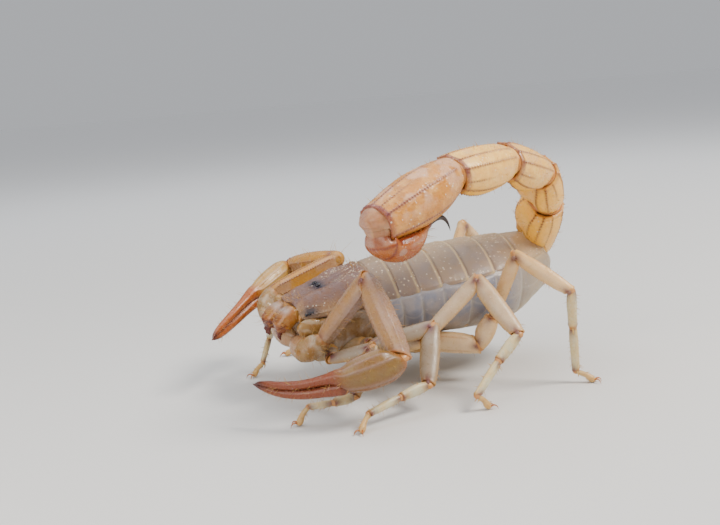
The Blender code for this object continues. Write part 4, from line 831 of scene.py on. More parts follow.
def segment(a, b, up, prof, n=56, m=62, sec=None, p=2.1, plane0=None, plane1=None, back=0.12, lip=0.05):
    """One hard piece of a limb: prof holds (place, half depth, half width, shift)."""
    d = unit(b - a)
    up = unit(up - d * float(up @ d))
    side = np.cross(d, up)
    L = np.linalg.norm(b - a)
    T = np.linspace(0, 1, m)
    T = T * 0.6 + 0.4 * (0.5 - 0.5 * np.cos(T * np.pi))
    prof = np.array([tuple(s) + (0.0,) * (4 - len(s)) for s in prof])
    S = curve(prof[:, 0], prof[:, 1:])(T)
    flare = lip * np.exp(-(((1 - T) * L - 0.16) / 0.13) ** 2)
    S[:, 0] += flare
    S[:, 1] += flare
    sec = oval(n, p) if sec is None else sec
    C = a + d * (back + (L - 2 * back) * T)[:, None] + up * S[:, 2:3]
    P = C[:, None] + side * (S[:, 1:2] * sec[:, 0])[..., None] + up * (S[:, 0:1] * sec[:, 1])[..., None]
    p0 = unit(d * 0.35 + plane0) if plane0 is not None else d
    p1 = unit(d * 0.35 + plane1) if plane1 is not None else d
    hold = min(0.45, 1.7 * S[:, 0].max() / L)
    P = fit(P, d, p0, p1, T, hold, hold)
    return P, T, d, up, side, L


def hollow(P, row, inward, many=5, depth=0.35, shrink=0.30):
    """Rings that carry a grid's open end round its lip and back inside."""
    R = P[row]
    c = R.mean(0)
    out = []
    for k in range(1, many + 1):
        t = k / many
        out.append(c + (R - c) * (1 - shrink * t ** 0.8) + inward * depth * (t - 0.15 * (1 - t)))
    return np.array(out)


def closed(P, d, lip=0.30):
    """Both ends turned inwards."""
    a = hollow(P, 0, d, 4, lip * 0.7, 0.35)[::-1]
    b = hollow(P, -1, -d, 4, lip, 0.28)
    return np.concatenate([a, P, b]), 4


def widen(A, k, v=0.0):
    """A mask carried over the added rings at both ends."""
    A = np.asarray(A, float)
    return np.concatenate([np.full((k,) + A.shape[1:], v), A, np.full((k,) + A.shape[1:], v)])


def bend_up(n, d, outer):
    u = unit(np.cross(n, d))
    return u if float(u @ outer) > 0 else -u


def halfway(prev, at, nxt):
    return unit(unit(V(at) - V(prev)) + unit(V(nxt) - V(at)))


def condyles(sh, c, side, hw, r, mat=0):
    for s in (1, -1):
        up = V(0, 0, 1) if abs(side[2]) < 0.8 else V(1, 0, 0)
        f = unit(np.cross(side, up))
        blob(sh, c + side * s * hw, f, np.cross(side, f), side * s, (r, r, r * 0.55), 20, 12, mat, spot=0.85)


def limb_part(sh, seg, mat, seed, keels=(), keel_high=0.05, grain=0.025, beads=0.26, edge_warm=0.7, face_pale=0.3, keel_mask=1.0, spots=True, bone=0.08, hairs=None, all_warm=0.0):
    """Adds a segment with its keels, grains and edge colours."""
    P, T, d, up, side, L = seg
    n = P.shape[1]
    ang = 2 * np.pi * (np.arange(n) + 0.5) / n
    edge = np.abs(np.sin(ang))[None] ** 4
    X = T[:, None]
    mid = fade(X, 0.04, 0.12) * fade(1 - X, 0.03, 0.10)
    h = 0.035 * (rough(P, 0.7, seed) - 0.5) + grains(P, 0.24, 0.10, grain, seed + 1, 0.7) * mid * fade(rough(P, 1.4, seed + 2), 0.3, 0.65)
    km = np.zeros(P.shape[:2])
    if keels:
        keep = (fade(T, 0.05, 0.14) * fade(1 - T, 0.05, 0.12))
        kh, km = ridge(P, keels, keel_high, bone, beads, keep)
        h = h + kh
    P = raised(P, h)
    end = np.exp(-(((1 - X) * L) / 0.22) ** 2) + 0 * edge
    start = np.exp(-((X * L) / 0.25) ** 2) + 0 * edge
    low = np.clip(-np.sin(ang), 0, 1)[None] ** 2 * 0.5 + 0.5
    warm = np.clip(edge * low * edge_warm * (0.6 + 0.5 * rough(P, 0.9, seed + 5)) + 0.75 * end + 0.65 * start + all_warm * (0.5 + rough(P, 1.4, seed + 6)), 0, 1)
    pale = np.clip((1 - edge) * face_pale * fade(rough(P, 1.2, seed + 7), 0.4, 0.65), 0, 1)
    spot = np.zeros(P.shape[:2])
    if spots:
        for t0, r in ((0.0, 0.52), (1.0, 0.44)):
            c = P[0 if t0 == 0 else -1].mean(0)
            q = P - c
            along, updist, out = q @ d, q @ up, np.abs(q @ side)
            spot = np.maximum(spot, np.exp(-((along / (r * 1.4)) ** 2 + (updist / (r * 0.75)) ** 2)) * (out > 0.12))
    G, k = closed(P, d)
    sh.add(G, mat, warm=widen(warm, k, 0.9), pale=widen(pale, k), keel=widen(km * keel_mask, k), spot=widen(spot, k), rim=widen(np.clip(end * 0.8, 0, 1), k, 0.5))
    if hairs:
        many, long, r, cols = hairs
        bristles(P, normals(P), many, long, r, seed + 11, d, 0.5, cols=cols)
    return P


def joint_skin(sh, c, prev, nxt, side, hd, hw, mat):
    """The soft ball of skin inside a joint."""
    d = halfway(prev, c, nxt)
    up = unit(np.cross(side, d))
    blob(sh, c, side, up, d, (hw, hd, hd * 0.95), 32, 20, mat, warm=0.55, pale=0.2)


# --------------------------------------------------------------------- legs
def legs():
    for tag, pts in LEGS.items():
        pts = [V(p) for p in pts]
        k = LEG_SCALE[tag[1]]
        s = 1 if tag[0] == "l" else -1
        seed = 1000 + 50 * (int(tag[1]) + 4 * (s < 0))
        base, (knee, pt, tb, bt, toe) = pts[:-5], pts[-5:]
        troch = base[-1]
        nrm = unit(np.cross(knee - troch, pt - knee))
        outer = unit(knee - (troch + pt) / 2)
        sh = Shell()
        # coxa of the last leg, and the trochanter
        if len(base) == 3:
            inner = pro(0.75 * s, -1.2, -6.9)
            p0, d = base[0], unit(base[1] - base[0])
            seg = segment(inner * 0.55 + p0 * 0.45, base[1], V(0, 0, 1), ((0, 0.95 * k, 0.75 * k), (0.5, 0.98 * k, 0.86 * k), (0.9, 0.92 * k, 0.84 * k), (1, 0.80 * k, 0.74 * k)), plane1=halfway(base[0], base[1], base[2]), m=70)
            limb_part(sh, seg, 0, seed, keels=(6, 50), keel_high=0.04, edge_warm=0.5, hairs=(14, 0.5, 0.014, None))
        a = base[-2]
        d0 = unit(troch - a)
        up0 = bend_up(nrm, d0, outer)
        near = unit(base[1] - base[0]) if len(base) == 3 else V(s, 0, 0)
        seg = segment(a, troch, up0, ((0, 0.62 * k, 0.60 * k), (0.25, 0.86 * k, 0.76 * k), (0.6, 0.90 * k, 0.76 * k), (1, 0.66 * k, 0.58 * k)), m=60,
                      plane0=unit(near + d0), plane1=halfway(a, troch, knee), back=0.05)
        limb_part(sh, seg, 0, seed + 3, edge_warm=0.8, hairs=(8, 0.45, 0.014, None))
        blob(sh, a, V(1, 0, 0), V(0, 0, 1), V(0, 1, 0), (0.62 * k, 0.70 * k, 0.70 * k), 28, 16, 2, warm=0.7)
        # femur and patella
        d1, d2 = unit(knee - troch), unit(pt - knee)
        u1, u2 = bend_up(nrm, d1, outer), bend_up(nrm, d2, outer)
        g = {"1": 1.0, "2": 1.0, "3": 0.86, "4": 0.70}[tag[1]] * k
        seg = segment(troch, knee, u1, ((0, 0.56 * g, 0.46 * k), (0.10, 0.70 * g, 0.52 * k), (0.3, 0.82 * g, 0.56 * k), (0.62, 0.90 * g, 0.57 * k), (0.9, 0.88 * g, 0.54 * k), (1, 0.80 * g, 0.50 * k)), p=1.95,
                      plane0=halfway(a, troch, knee), plane1=halfway(troch, knee, pt))
        # leg IV's all_warm adds painted light: a warmer, lighter tone on its lit femur and patella
        limb_part(sh, seg, 0, seed + 6, keels=(13, 42), keel_high=0.06, hairs=(16, 0.38, 0.014, (13, 42)), all_warm=0.30 if tag[1] == "4" else 0.0)
        joint_skin(sh, troch, a, knee, np.cross(d1, u1), 0.56 * g, 0.46 * k, 2)
        joint_skin(sh, knee, troch, pt, np.cross(d1, u1), 0.74 * g, 0.47 * k, 2)
        condyles(sh, knee - d1 * 0.1, np.cross(d1, u1), 0.44 * k, 0.21 * k)
        seg = segment(knee, pt, u2, ((0, 0.74 * g, 0.46 * k), (0.09, 0.88 * g, 0.54 * k), (0.30, 1.0 * g, 0.60 * k), (0.62, 0.98 * g, 0.59 * k), (0.88, 0.84 * g, 0.53 * k), (1, 0.70 * g, 0.46 * k)), p=1.85,
                      plane0=halfway(troch, knee, pt), plane1=halfway(knee, pt, tb))
        limb_part(sh, seg, 0, seed + 9, keels=(13, 42), keel_high=0.06, edge_warm=0.9, hairs=(18, 0.42, 0.014, (13, 42)), all_warm=0.35 if tag[1] == "4" else 0.0)
        # tibia, basitarsus and telotarsus
        d3 = unit(tb - pt)
        u3 = V(0, 0, 1) - d3 * d3[2]
        u3 = unit(u3) if np.linalg.norm(u3) > 0.25 else unit(outer - d3 * float(outer @ d3))
        side3 = np.cross(d3, u3)
        joint_skin(sh, pt, knee, tb, np.cross(d2, u2), 0.56 * g, 0.42 * k, 2)
        condyles(sh, pt - d2 * 0.05, np.cross(d2, u2), 0.41 * k, 0.22 * k)
        seg = segment(pt, tb, u3, ((0, 0.42 * k, 0.38 * k), (0.10, 0.50 * k, 0.43 * k), (0.3, 0.58 * k, 0.46 * k), (0.7, 0.54 * k, 0.43 * k), (0.93, 0.47 * k, 0.41 * k), (1, 0.45 * k, 0.39 * k)),
                      plane0=halfway(knee, pt, tb), plane1=halfway(pt, tb, bt), lip=0.04)
        limb_part(sh, seg, 1, seed + 12, edge_warm=0.25, grain=0.015, face_pale=0.8, hairs=(26, 0.42, 0.015, None))
        joint_skin(sh, tb, pt, bt, side3, 0.40 * k, 0.37 * k, 2)
        d4 = unit(bt - tb)
        u4 = V(0, 0, 1) - d4 * d4[2]
        u4 = unit(u4) if np.linalg.norm(u4) > 0.25 else unit(outer - d4 * float(outer @ d4))
        seg = segment(tb, bt, u4, ((0, 0.34 * k, 0.32 * k), (0.12, 0.39 * k, 0.36 * k), (0.5, 0.40 * k, 0.36 * k), (0.9, 0.36 * k, 0.33 * k), (1, 0.34 * k, 0.31 * k)),
                      plane0=halfway(pt, tb, bt), plane1=halfway(tb, bt, toe), lip=0.03)
        P = limb_part(sh, seg, 1, seed + 15, edge_warm=0.4, grain=0.015, face_pale=0.5, hairs=(34, 0.42, 0.017, None))
        if tag[1] in "34":                       # the spur at the end of the tibia
            q = tb - u3 * 0.32 * k
            sh.add(tube([q, q + (d3 - u3 * 0.6) * 0.32, q + (d3 - u3 * 0.4) * 0.62], [(0.09, 0.09), (0.06, 0.06), (0.012, 0.012)], side3, 12, 16), 1, warm=1)
        for w in (1, -1):
            q = bt - u4 * 0.22 * k + np.cross(d4, u4) * 0.16 * w
            sh.add(tube([q - d4 * 0.1, q + (d4 - u4 * 0.5) * 0.26, q + (d4 * 1.0 - u4 * 0.2) * 0.50], [(0.08, 0.08), (0.055, 0.055), (0.012, 0.012)], u4, 12, 16), 1, warm=0.9)
        joint_skin(sh, bt, tb, toe, np.cross(d4, u4), 0.30 * k + 0.02, 0.30 * k, 2)
        # foot: a slim last piece that ends just above the ground, and two claws
        d5 = unit(toe - bt)
        fwd = unit(V(toe[0] - bt[0], toe[1] - bt[1], 0))
        sole = toe + V(0, 0, 0.30) - fwd * 0.10
        u5 = unit(V(0, 0, 1) - unit(sole - bt) * unit(sole - bt)[2])
        mid = (bt + sole) / 2 + u5 * 0.06
        F = tube([bt + (sole - bt) * 0.06, mid, sole, sole + fwd * 0.12], [(0.22, 0.22), (0.245, 0.24), (0.215, 0.215), (0.10, 0.12)], u5, 40, 60)
        T = np.linspace(0, 1, 60)[:, None]
        F = raised(F, 0.03 * (rough(F, 0.4, seed + 20) - 0.5))
        F[..., 2] = np.maximum(F[..., 2], 0.03)
        sh.add(F, 1, warm=np.clip(0.55 + 0.4 * T + 0 * F[..., 0], 0, 1), rim=0.3)
        bristles(F, normals(F), 26, 0.34, 0.016, seed + 21, d5, 0.6, rows=(0.1, 0.9))
        # legs I-II take the darker painted-shade copy, leg IV the lighter painted-light copy
        sh.build("leg_" + tag, [M["front" if tag[1] in "12" else "rear" if tag[1] == "4" else "upper"], M["lower"], M["gut"]], "upper_limb", *["leg_%s_%s" % (tag, w) for w in ("femur", "patella", "tarsus")])
        cl = Shell()
        cross = unit(np.cross(V(0, 0, 1), fwd))
        for w in (1, -1):
            out = unit(fwd + cross * 0.55 * w)
            r0 = sole + cross * 0.12 * w + fwd * 0.02 + V(0, 0, 0.02)
            path = [r0, r0 + out * 0.24 + V(0, 0, 0.10), r0 + out * 0.50 + V(0, 0, 0.02), r0 + out * 0.68 - V(0, 0, r0[2] - 0.03)]
            C = tube(path, [(0.10, 0.08), (0.095, 0.065), (0.065, 0.05), (0.012, 0.012)], cross, 16, 34)
            C[..., 2] = np.maximum(C[..., 2], 0.004)
            cl.add(C, spot=np.clip(np.linspace(-0.6, 1, 34)[:, None] + 0 * C[..., 0], 0, 1))
        cl.build("claws_" + tag, [M["claw"]], "lower_limb", sharp=0)


# ---------------------------------------------------------------- pedipalps
PALP = ((0.0, 0.90), (0.66, 0.96), (1.0, 0.30), (0.97, -0.42), (0.58, -0.98), (0.0, -0.90), (-0.58, -0.98), (-0.97, -0.42), (-1.0, 0.30), (-0.66, 0.96))


def corners(points, n):
    """A fine outline through corner points, kept angular."""
    k = len(points)
    A = np.array(points, float)
    c = np.arange(n) * k / n
    i, q = np.floor(c).astype(int), (c - np.floor(c))[:, None]
    p0, p1, p2, p3 = A[(i - 1) % k], A[i % k], A[(i + 1) % k], A[(i + 2) % k]
    soft = 0.5 * (2 * p1 + (p2 - p0) * q + (2 * p0 - 5 * p1 + 4 * p2 - p3) * q ** 2 + (3 * p1 - p0 - 3 * p2 + p3) * q ** 3)
    return soft * 0.75 + (p1 * (1 - q) + p2 * q) * 0.25


def pedipalps():
    N = 120
    turn = np.arctan2(corners(PALP, N)[:, 1], corners(PALP, N)[:, 0])
    round_ = np.stack([np.sign(np.cos(turn)) * np.abs(np.cos(turn)) ** 0.9, np.sign(np.sin(turn)) * np.abs(np.sin(turn)) ** 0.9], 1)
    keels = [12 * c for c in (1, 2, 4, 6, 8, 9)]
    for tag, pts in (("l", PEDIPALP_L), ("r", PEDIPALP_R)):
        coxa, bulb, troch, elbow, wrist, hand, tip = [V(p) for p in pts]
        s = 1 if tag == "l" else -1
        seed = 2000 + 100 * (s < 0)
        nrm = unit(np.cross(elbow - troch, wrist - elbow))
        outer = unit(elbow - (troch + wrist) / 2)
        sec = corners(PALP, N) * (0.35 if s > 0 else 0.6) + round_ * (0.65 if s > 0 else 0.4)
        sh = Shell()
        # coxa under the chelicerae, then the trochanter bulb
        inner = pro(0.55 * s, -7.9, -5.6)
        c0 = V(s * 3.0, coxa[1] + 0.1, coxa[2])
        P = tube([inner, (inner + c0) / 2 + V(0, -0.25, -0.1), c0, bulb - (bulb - c0) * 0.35], [(0.85, 0.75), (1.15, 1.05), (1.12, 1.08), (0.80, 0.80)], V(0, 0, 1), 64, 70, oval(64, 2.4))
        P = raised(P, 0.05 * (rough(P, 0.9, seed) - 0.5) + grains(P, 0.28, 0.1, 0.025, seed + 1, 0.6))
        sh.add(P, 0, warm=np.clip(0.35 + 0.4 * rough(P, 1.2, seed + 2), 0, 1), pale=0.35)
        lobe = pro(2.85 * s, -6.75, -3.85)
        for at_, r_, w_ in ((lobe, (0.74, 1.05, 1.95), 0.25), (pro(2.45 * s, -7.55, -4.35), (0.80, 1.0, 0.95), 0.75)):
            P = ellipsoid(at_, PRO_R @ V(s, 0, 0), PRO_R @ V(0, 0.30, 0.954), PRO_R @ V(0, -0.954, 0.30), r_, 64, 44)
            P = raised(P, 0.26 * (rough(P * V(1, 1, 1.5), 1.0, seed + 60) - 0.5) + grains(P, 0.26, 0.1, 0.03, seed + 61, 0.5))
            # pale streaks across the lobes are painted glossy highlights, laid into the pale mask
            gloss_streak = 0.5 + 0.5 * np.cos(((P - at_) @ PRO_R[:, 2]) * 6.0 + ((P - at_) @ PRO_R[:, 1]) * 2.2 + 4.0 * rough(P, 0.8, seed + 66))
            sh.add(P, 2, pale=np.clip(0.75 * fade(gloss_streak, 0.55, 0.95) * fade(rough(P, 0.9, seed + 62), 0.38, 0.55), 0, 1), warm=np.clip(0.2 + w_ * (0.4 + rough(P, 0.8, seed + 63)), 0, 1), spot=0.35 * fade(rough(P, 0.6, seed + 64), 0.60, 0.70) * w_)
        if s < 0:
            bulb = bulb + V(-0.10, -0.50, -0.25)
        g = 1.0 if s > 0 else 0.90
        mid = (bulb + troch) / 2 + (V(-0.08, -0.35, -0.15) if s < 0 else 0)
        P = tube([bulb - (bulb - c0) * 0.42, bulb - (bulb - c0) * 0.12, mid, troch - (troch - bulb) * 0.10, troch + (elbow - troch) * 0.05], [(0.80 * g, 0.80 * g), (1.02 * g, 1.06 * g), (1.08 * g, 1.08 * g), (0.94 * g, 0.90 * g), (0.70, 0.66)], nrm, 72, 80, oval(72, 2.5))
        T = np.linspace(0, 1, 80)[:, None]
        P = raised(P, 0.14 * (rough(P, 0.9, seed + 3) - 0.5) + grains(P, 0.3, 0.12, 0.05, seed + 4, 0.6))
        end = fade(T, 0.86, 0.97) + 0 * P[..., 0]
        knob = np.exp(-((T - 0.72) / 0.12) ** 2) * fade(rough(P, 1.1, seed + 7), 0.38, 0.52)
        sh.add(P, 2, warm=np.clip((0.5 if s > 0 else 0.2) + end + 0.5 * fade(1 - T, 0.8, 1.0) + 0.5 * fade(rough(P, 0.7, seed + 8), 0.5, 0.62), 0, 1), pale=np.clip((0.2 if s > 0 else 0.6) * fade(rough(P, 1.3, seed + 5), 0.4, 0.6) + knob, 0, 1), rim=end * 0.8)
        bristles(P, normals(P), 20, 1.1, 0.018, seed + 6, unit(troch - bulb), 0.3)
        d1, d2 = unit(elbow - troch), unit(wrist - elbow)
        u1, u2 = bend_up(nrm, d1, outer), bend_up(nrm, d2, outer)
        trim = 0.34 if s < 0 else 0.0
        seg = segment(troch, elbow - d1 * trim, u1, ((0, 0.62, 0.62), (0.08, 0.74, 0.74), (0.28, 0.84, 0.82), (0.62, 0.92, 0.84), (0.88, 0.92, 0.80), (1, 0.80, 0.70)), N, 110, sec,
                      plane0=halfway(bulb, troch, elbow), plane1=halfway(troch, elbow, wrist), lip=0.07)
        limb_part(sh, seg, 0, seed + 10, keels=keels, keel_high=0.05 if s > 0 else 0.10, bone=0.085, beads=0.27, grain=0.03, edge_warm=0.95 if s > 0 else 1.0, face_pale=0.6, keel_mask=0.25 if s > 0 else 1.0, all_warm=0.0 if s > 0 else 0.9, hairs=(40, 0.9, 0.015, None))
        joint_skin(sh, troch, bulb, elbow, np.cross(d1, u1), 0.68, 0.64, 1)
        joint_skin(sh, elbow, troch, wrist, np.cross(d1, u1), 0.80, 0.70, 1)
        condyles(sh, elbow - d1 * 0.1, np.cross(d1, u1), 0.68, 0.24)
        if s < 0:
            blob(sh, elbow - outer * 0.06, np.cross(d1, u1), u1, d1, (0.86, 0.90, 0.90), 64, 40, 0, warm=0.85)
        seg = segment(elbow + d2 * trim, wrist, u2, ((0, 0.70, 0.66), (0.09, 0.92, 0.86), (0.28, 1.10, 1.0), (0.55, 1.14, 1.03), (0.82, 1.02, 0.92), (1, 0.76, 0.76)), N, 116, sec,
                      plane0=halfway(troch, elbow, wrist), plane1=halfway(elbow, wrist, hand), lip=0.07)
        limb_part(sh, seg, 0, seed + 20, keels=keels, keel_high=0.045 if s > 0 else 0.09, bone=0.085, beads=0.27, grain=0.03, edge_warm=0.95, face_pale=0.6, keel_mask=0.25 if s > 0 else 0.7, all_warm=0.0 if s > 0 else 0.7, hairs=(46, 0.9, 0.015, None))
        if s < 0:
            bristles(seg[0], normals(seg[0]), 16, 2.2, 0.013, seed + 30, V(0.2, 0.5, 0.8), 0.6, rows=(0.0, 0.25))
        joint_skin(sh, wrist, elbow, hand, np.cross(d2, u2), 0.76, 0.70, 1)
        condyles(sh, wrist, np.cross(d2, u2), 0.66, 0.22)
        sh.build("pedipalp_" + tag, [M["palp"], M["gut"], M["knob"]], "upper_limb", "pedipalp_%s_femur" % tag, "pedipalp_%s_patella" % tag)
        chela(tag, elbow, wrist, hand, tip, seed + 40)


def chela(tag, elbow, wrist, hand, tip, seed):
    """The hand with its fixed finger above, and the movable finger below it."""
    d1, d2 = unit(hand - wrist), unit(tip - hand)
    L1, L2 = np.linalg.norm(hand - wrist), np.linalg.norm(tip - hand)
    up = V(0, 0, 1)
    n0 = halfway(elbow, wrist, hand)

    def frame(t):
        w = float(fade(t, 0.55, 1.30))
        d = unit(d1 * (1 - w) + d2 * w)
        u = unit(up - d * d[2])
        return d, u, np.cross(d, u)

    def cen(t):
        if t <= 1.0:
            return (wrist + d1 * (L1 * t)) * 0.8 + (wrist + (tip - wrist) * (t * L1 / (L1 + L2))) * 0.2
        q = t - 1.0
        p0 = (wrist + d1 * L1) * 0.8 + (wrist + (tip - wrist) * (L1 / (L1 + L2))) * 0.2
        side = np.cross(d2, up)
        out = side if float(side @ (p0 - (wrist + tip) / 2)) > 0 else -side
        sag = 0.42 * math.sin(q * math.pi) if q < 1.0 else 0.0
        return p0 * (1 - q) + tip * q + out * (math.sin(q * math.pi) * 0.55) - up * sag + up * 0.35 * q * q

    def loft(st, n, m, sec, lean=False):
        st = np.array(st)
        if tag == "r" and lean:
            st[:, 1:3] = np.where(st[:, :1] < 1.0, 0.66 + (st[:, 1:3] - 0.66) * 0.80, st[:, 1:3])
        T = st[0, 0] + (st[-1, 0] - st[0, 0]) * np.linspace(0, 1, m)
        S = curve(st[:, 0], st[:, 1:])(T)
        rows = []
        for t, (hd, hw, off) in zip(T, S):
            d, u, x = frame(t)
            c = cen(t) + u * off
            R = c + x * (hw * sec[:, :1]) + u * (hd * sec[:, 1:])
            if lean:
                near = float(fade(1 - t * L1 / 2.6))
                R = R + d * (((c - R) @ unit(n0 + d * 0.4)) / float(d @ unit(n0 + d * 0.4)) * near)[:, None]
            rows.append(R)
        return np.array(rows), T

    n = 96
    sec = oval(n, 2.15)
    P, T = loft(((0.03, 0.66, 0.66, 0.0), (0.09, 1.02, 0.94, 0.0), (0.24, 1.50, 1.30, -0.10), (0.5, 1.62, 1.40, -0.12), (0.76, 1.42, 1.22, -0.05), (0.93, 1.08, 0.94, 0.08),
                 (1.04, 0.70, 0.68, 0.46), (1.16, 0.48, 0.54, 0.56), (1.3, 0.41, 0.45, 0.54), (1.5, 0.38, 0.41, 0.47), (1.72, 0.33, 0.35, 0.38), (1.88, 0.24, 0.25, 0.27), (1.96, 0.15, 0.15, 0.15), (2.0, 0.05, 0.05, 0.04)), n, 240, sec, True)
    X = T[:, None]
    ang = 2 * np.pi * (np.arange(n) + 0.5) / n
    keep = fade(T, 0.10, 0.25) * fade(1.12 - T, 0.0, 0.3)
    kh, km = ridge(P, [8, 16, 24, 32, 40, 56, 72, 88], 0.085, 0.12, 0.0, keep)
    h = kh + 0.04 * (rough(P, 0.9, seed) - 0.5) + grains(P, 0.26, 0.1, 0.018, seed + 1, 0.6) * fade(1.0 - X, 0, 0.3)
    teeth = np.exp(-((ang - 1.5 * np.pi) / 0.42) ** 2)[None] * fade(X, 1.04, 1.12) * fade(2.0 - X, 0.03, 0.12)
    s = (X - 1) * L2
    h = h + teeth * (0.05 + 0.06 * (0.5 + 0.5 * np.cos(s * 2 * np.pi / 0.24)))
    P = raised(P, h)
    finger = fade(X, 0.82, 1.12) + 0 * ang[None]
    start = fade(0.16 - X, 0.0, 0.12) + 0 * ang[None]
    low = 0.5 * fade(-np.sin(ang), 0.1, 0.9)[None] * (1 - finger)
    red = np.exp(-(((X - 1.0) * L1 / 0.75) ** 2)) * fade(-np.sin(ang), 0.1, 0.8)[None]
    tip_dark = fade(X, 1.80, 1.98) + 0 * ang[None]
    sh = Shell()
    sh.add(P, 0, warm=np.clip(finger + start * 0.7 + low + 0.2 * rough(P, 1.3, seed + 2), 0, 1), pale=np.clip(km * 0.9 * (1 - finger), 0, 1),
           keel=np.clip(teeth * 1.3, 0, 1), spot=np.clip(tip_dark + red * 0.6, 0, 1), rim=start * 0.6)
    bristles(P, normals(P), 60, 0.75, 0.017, seed + 3, frame(1.0)[0], 0.35, rows=(0.05, 0.9))
    # the near claw takes the darker painted-shade copy, the far claw the lighter painted-light copy
    sh.build("hand_" + tag, [M["hand" if tag == "l" else "hand_far_lit"]], "hand", "pedipalp_%s_hand" % tag)
    n = 64
    sec = oval(n, 2.1)
    P, T = loft(((0.84, 0.30, 0.34, -0.62), (0.93, 0.56, 0.56, -0.66), (1.05, 0.58, 0.57, -0.55), (1.18, 0.50, 0.52, -0.48), (1.35, 0.45, 0.46, -0.42), (1.55, 0.40, 0.40, -0.37), (1.75, 0.32, 0.34, -0.33), (1.90, 0.23, 0.24, -0.24), (1.98, 0.14, 0.15, -0.14), (2.03, 0.05, 0.05, -0.03)), n, 220, sec)
    X = T[:, None]
    ang = 2 * np.pi * (np.arange(n) + 0.5) / n
    teeth = np.exp(-((ang - 0.5 * np.pi) / 0.42) ** 2)[None] * fade(X, 1.04, 1.12) * fade(2.02 - X, 0.03, 0.12)
    s = (X - 1) * L2
    P = raised(P, 0.03 * (rough(P, 0.7, seed + 4) - 0.5) + teeth * (0.05 + 0.06 * (0.5 + 0.5 * np.cos(s * 2 * np.pi / 0.24 + 1.6))))
    sh = Shell()
    sh.add(P, 0, warm=1.0, keel=np.clip(teeth * 1.3, 0, 1), spot=np.clip(fade(X, 1.80, 2.0) + 0.5 * fade(1.02 - X, 0, 0.1) + 0 * ang[None], 0, 1))
    bristles(P, normals(P), 34, 0.6, 0.016, seed + 5, frame(1.5)[0], 0.35, rows=(0.2, 0.9))
    # the fingers take the same painted-shade and painted-light copies as their hands
    sh.build("finger_" + tag, [M["hand" if tag == "l" else "hand_far_lit"]], "finger", "pedipalp_%s_finger" % tag)


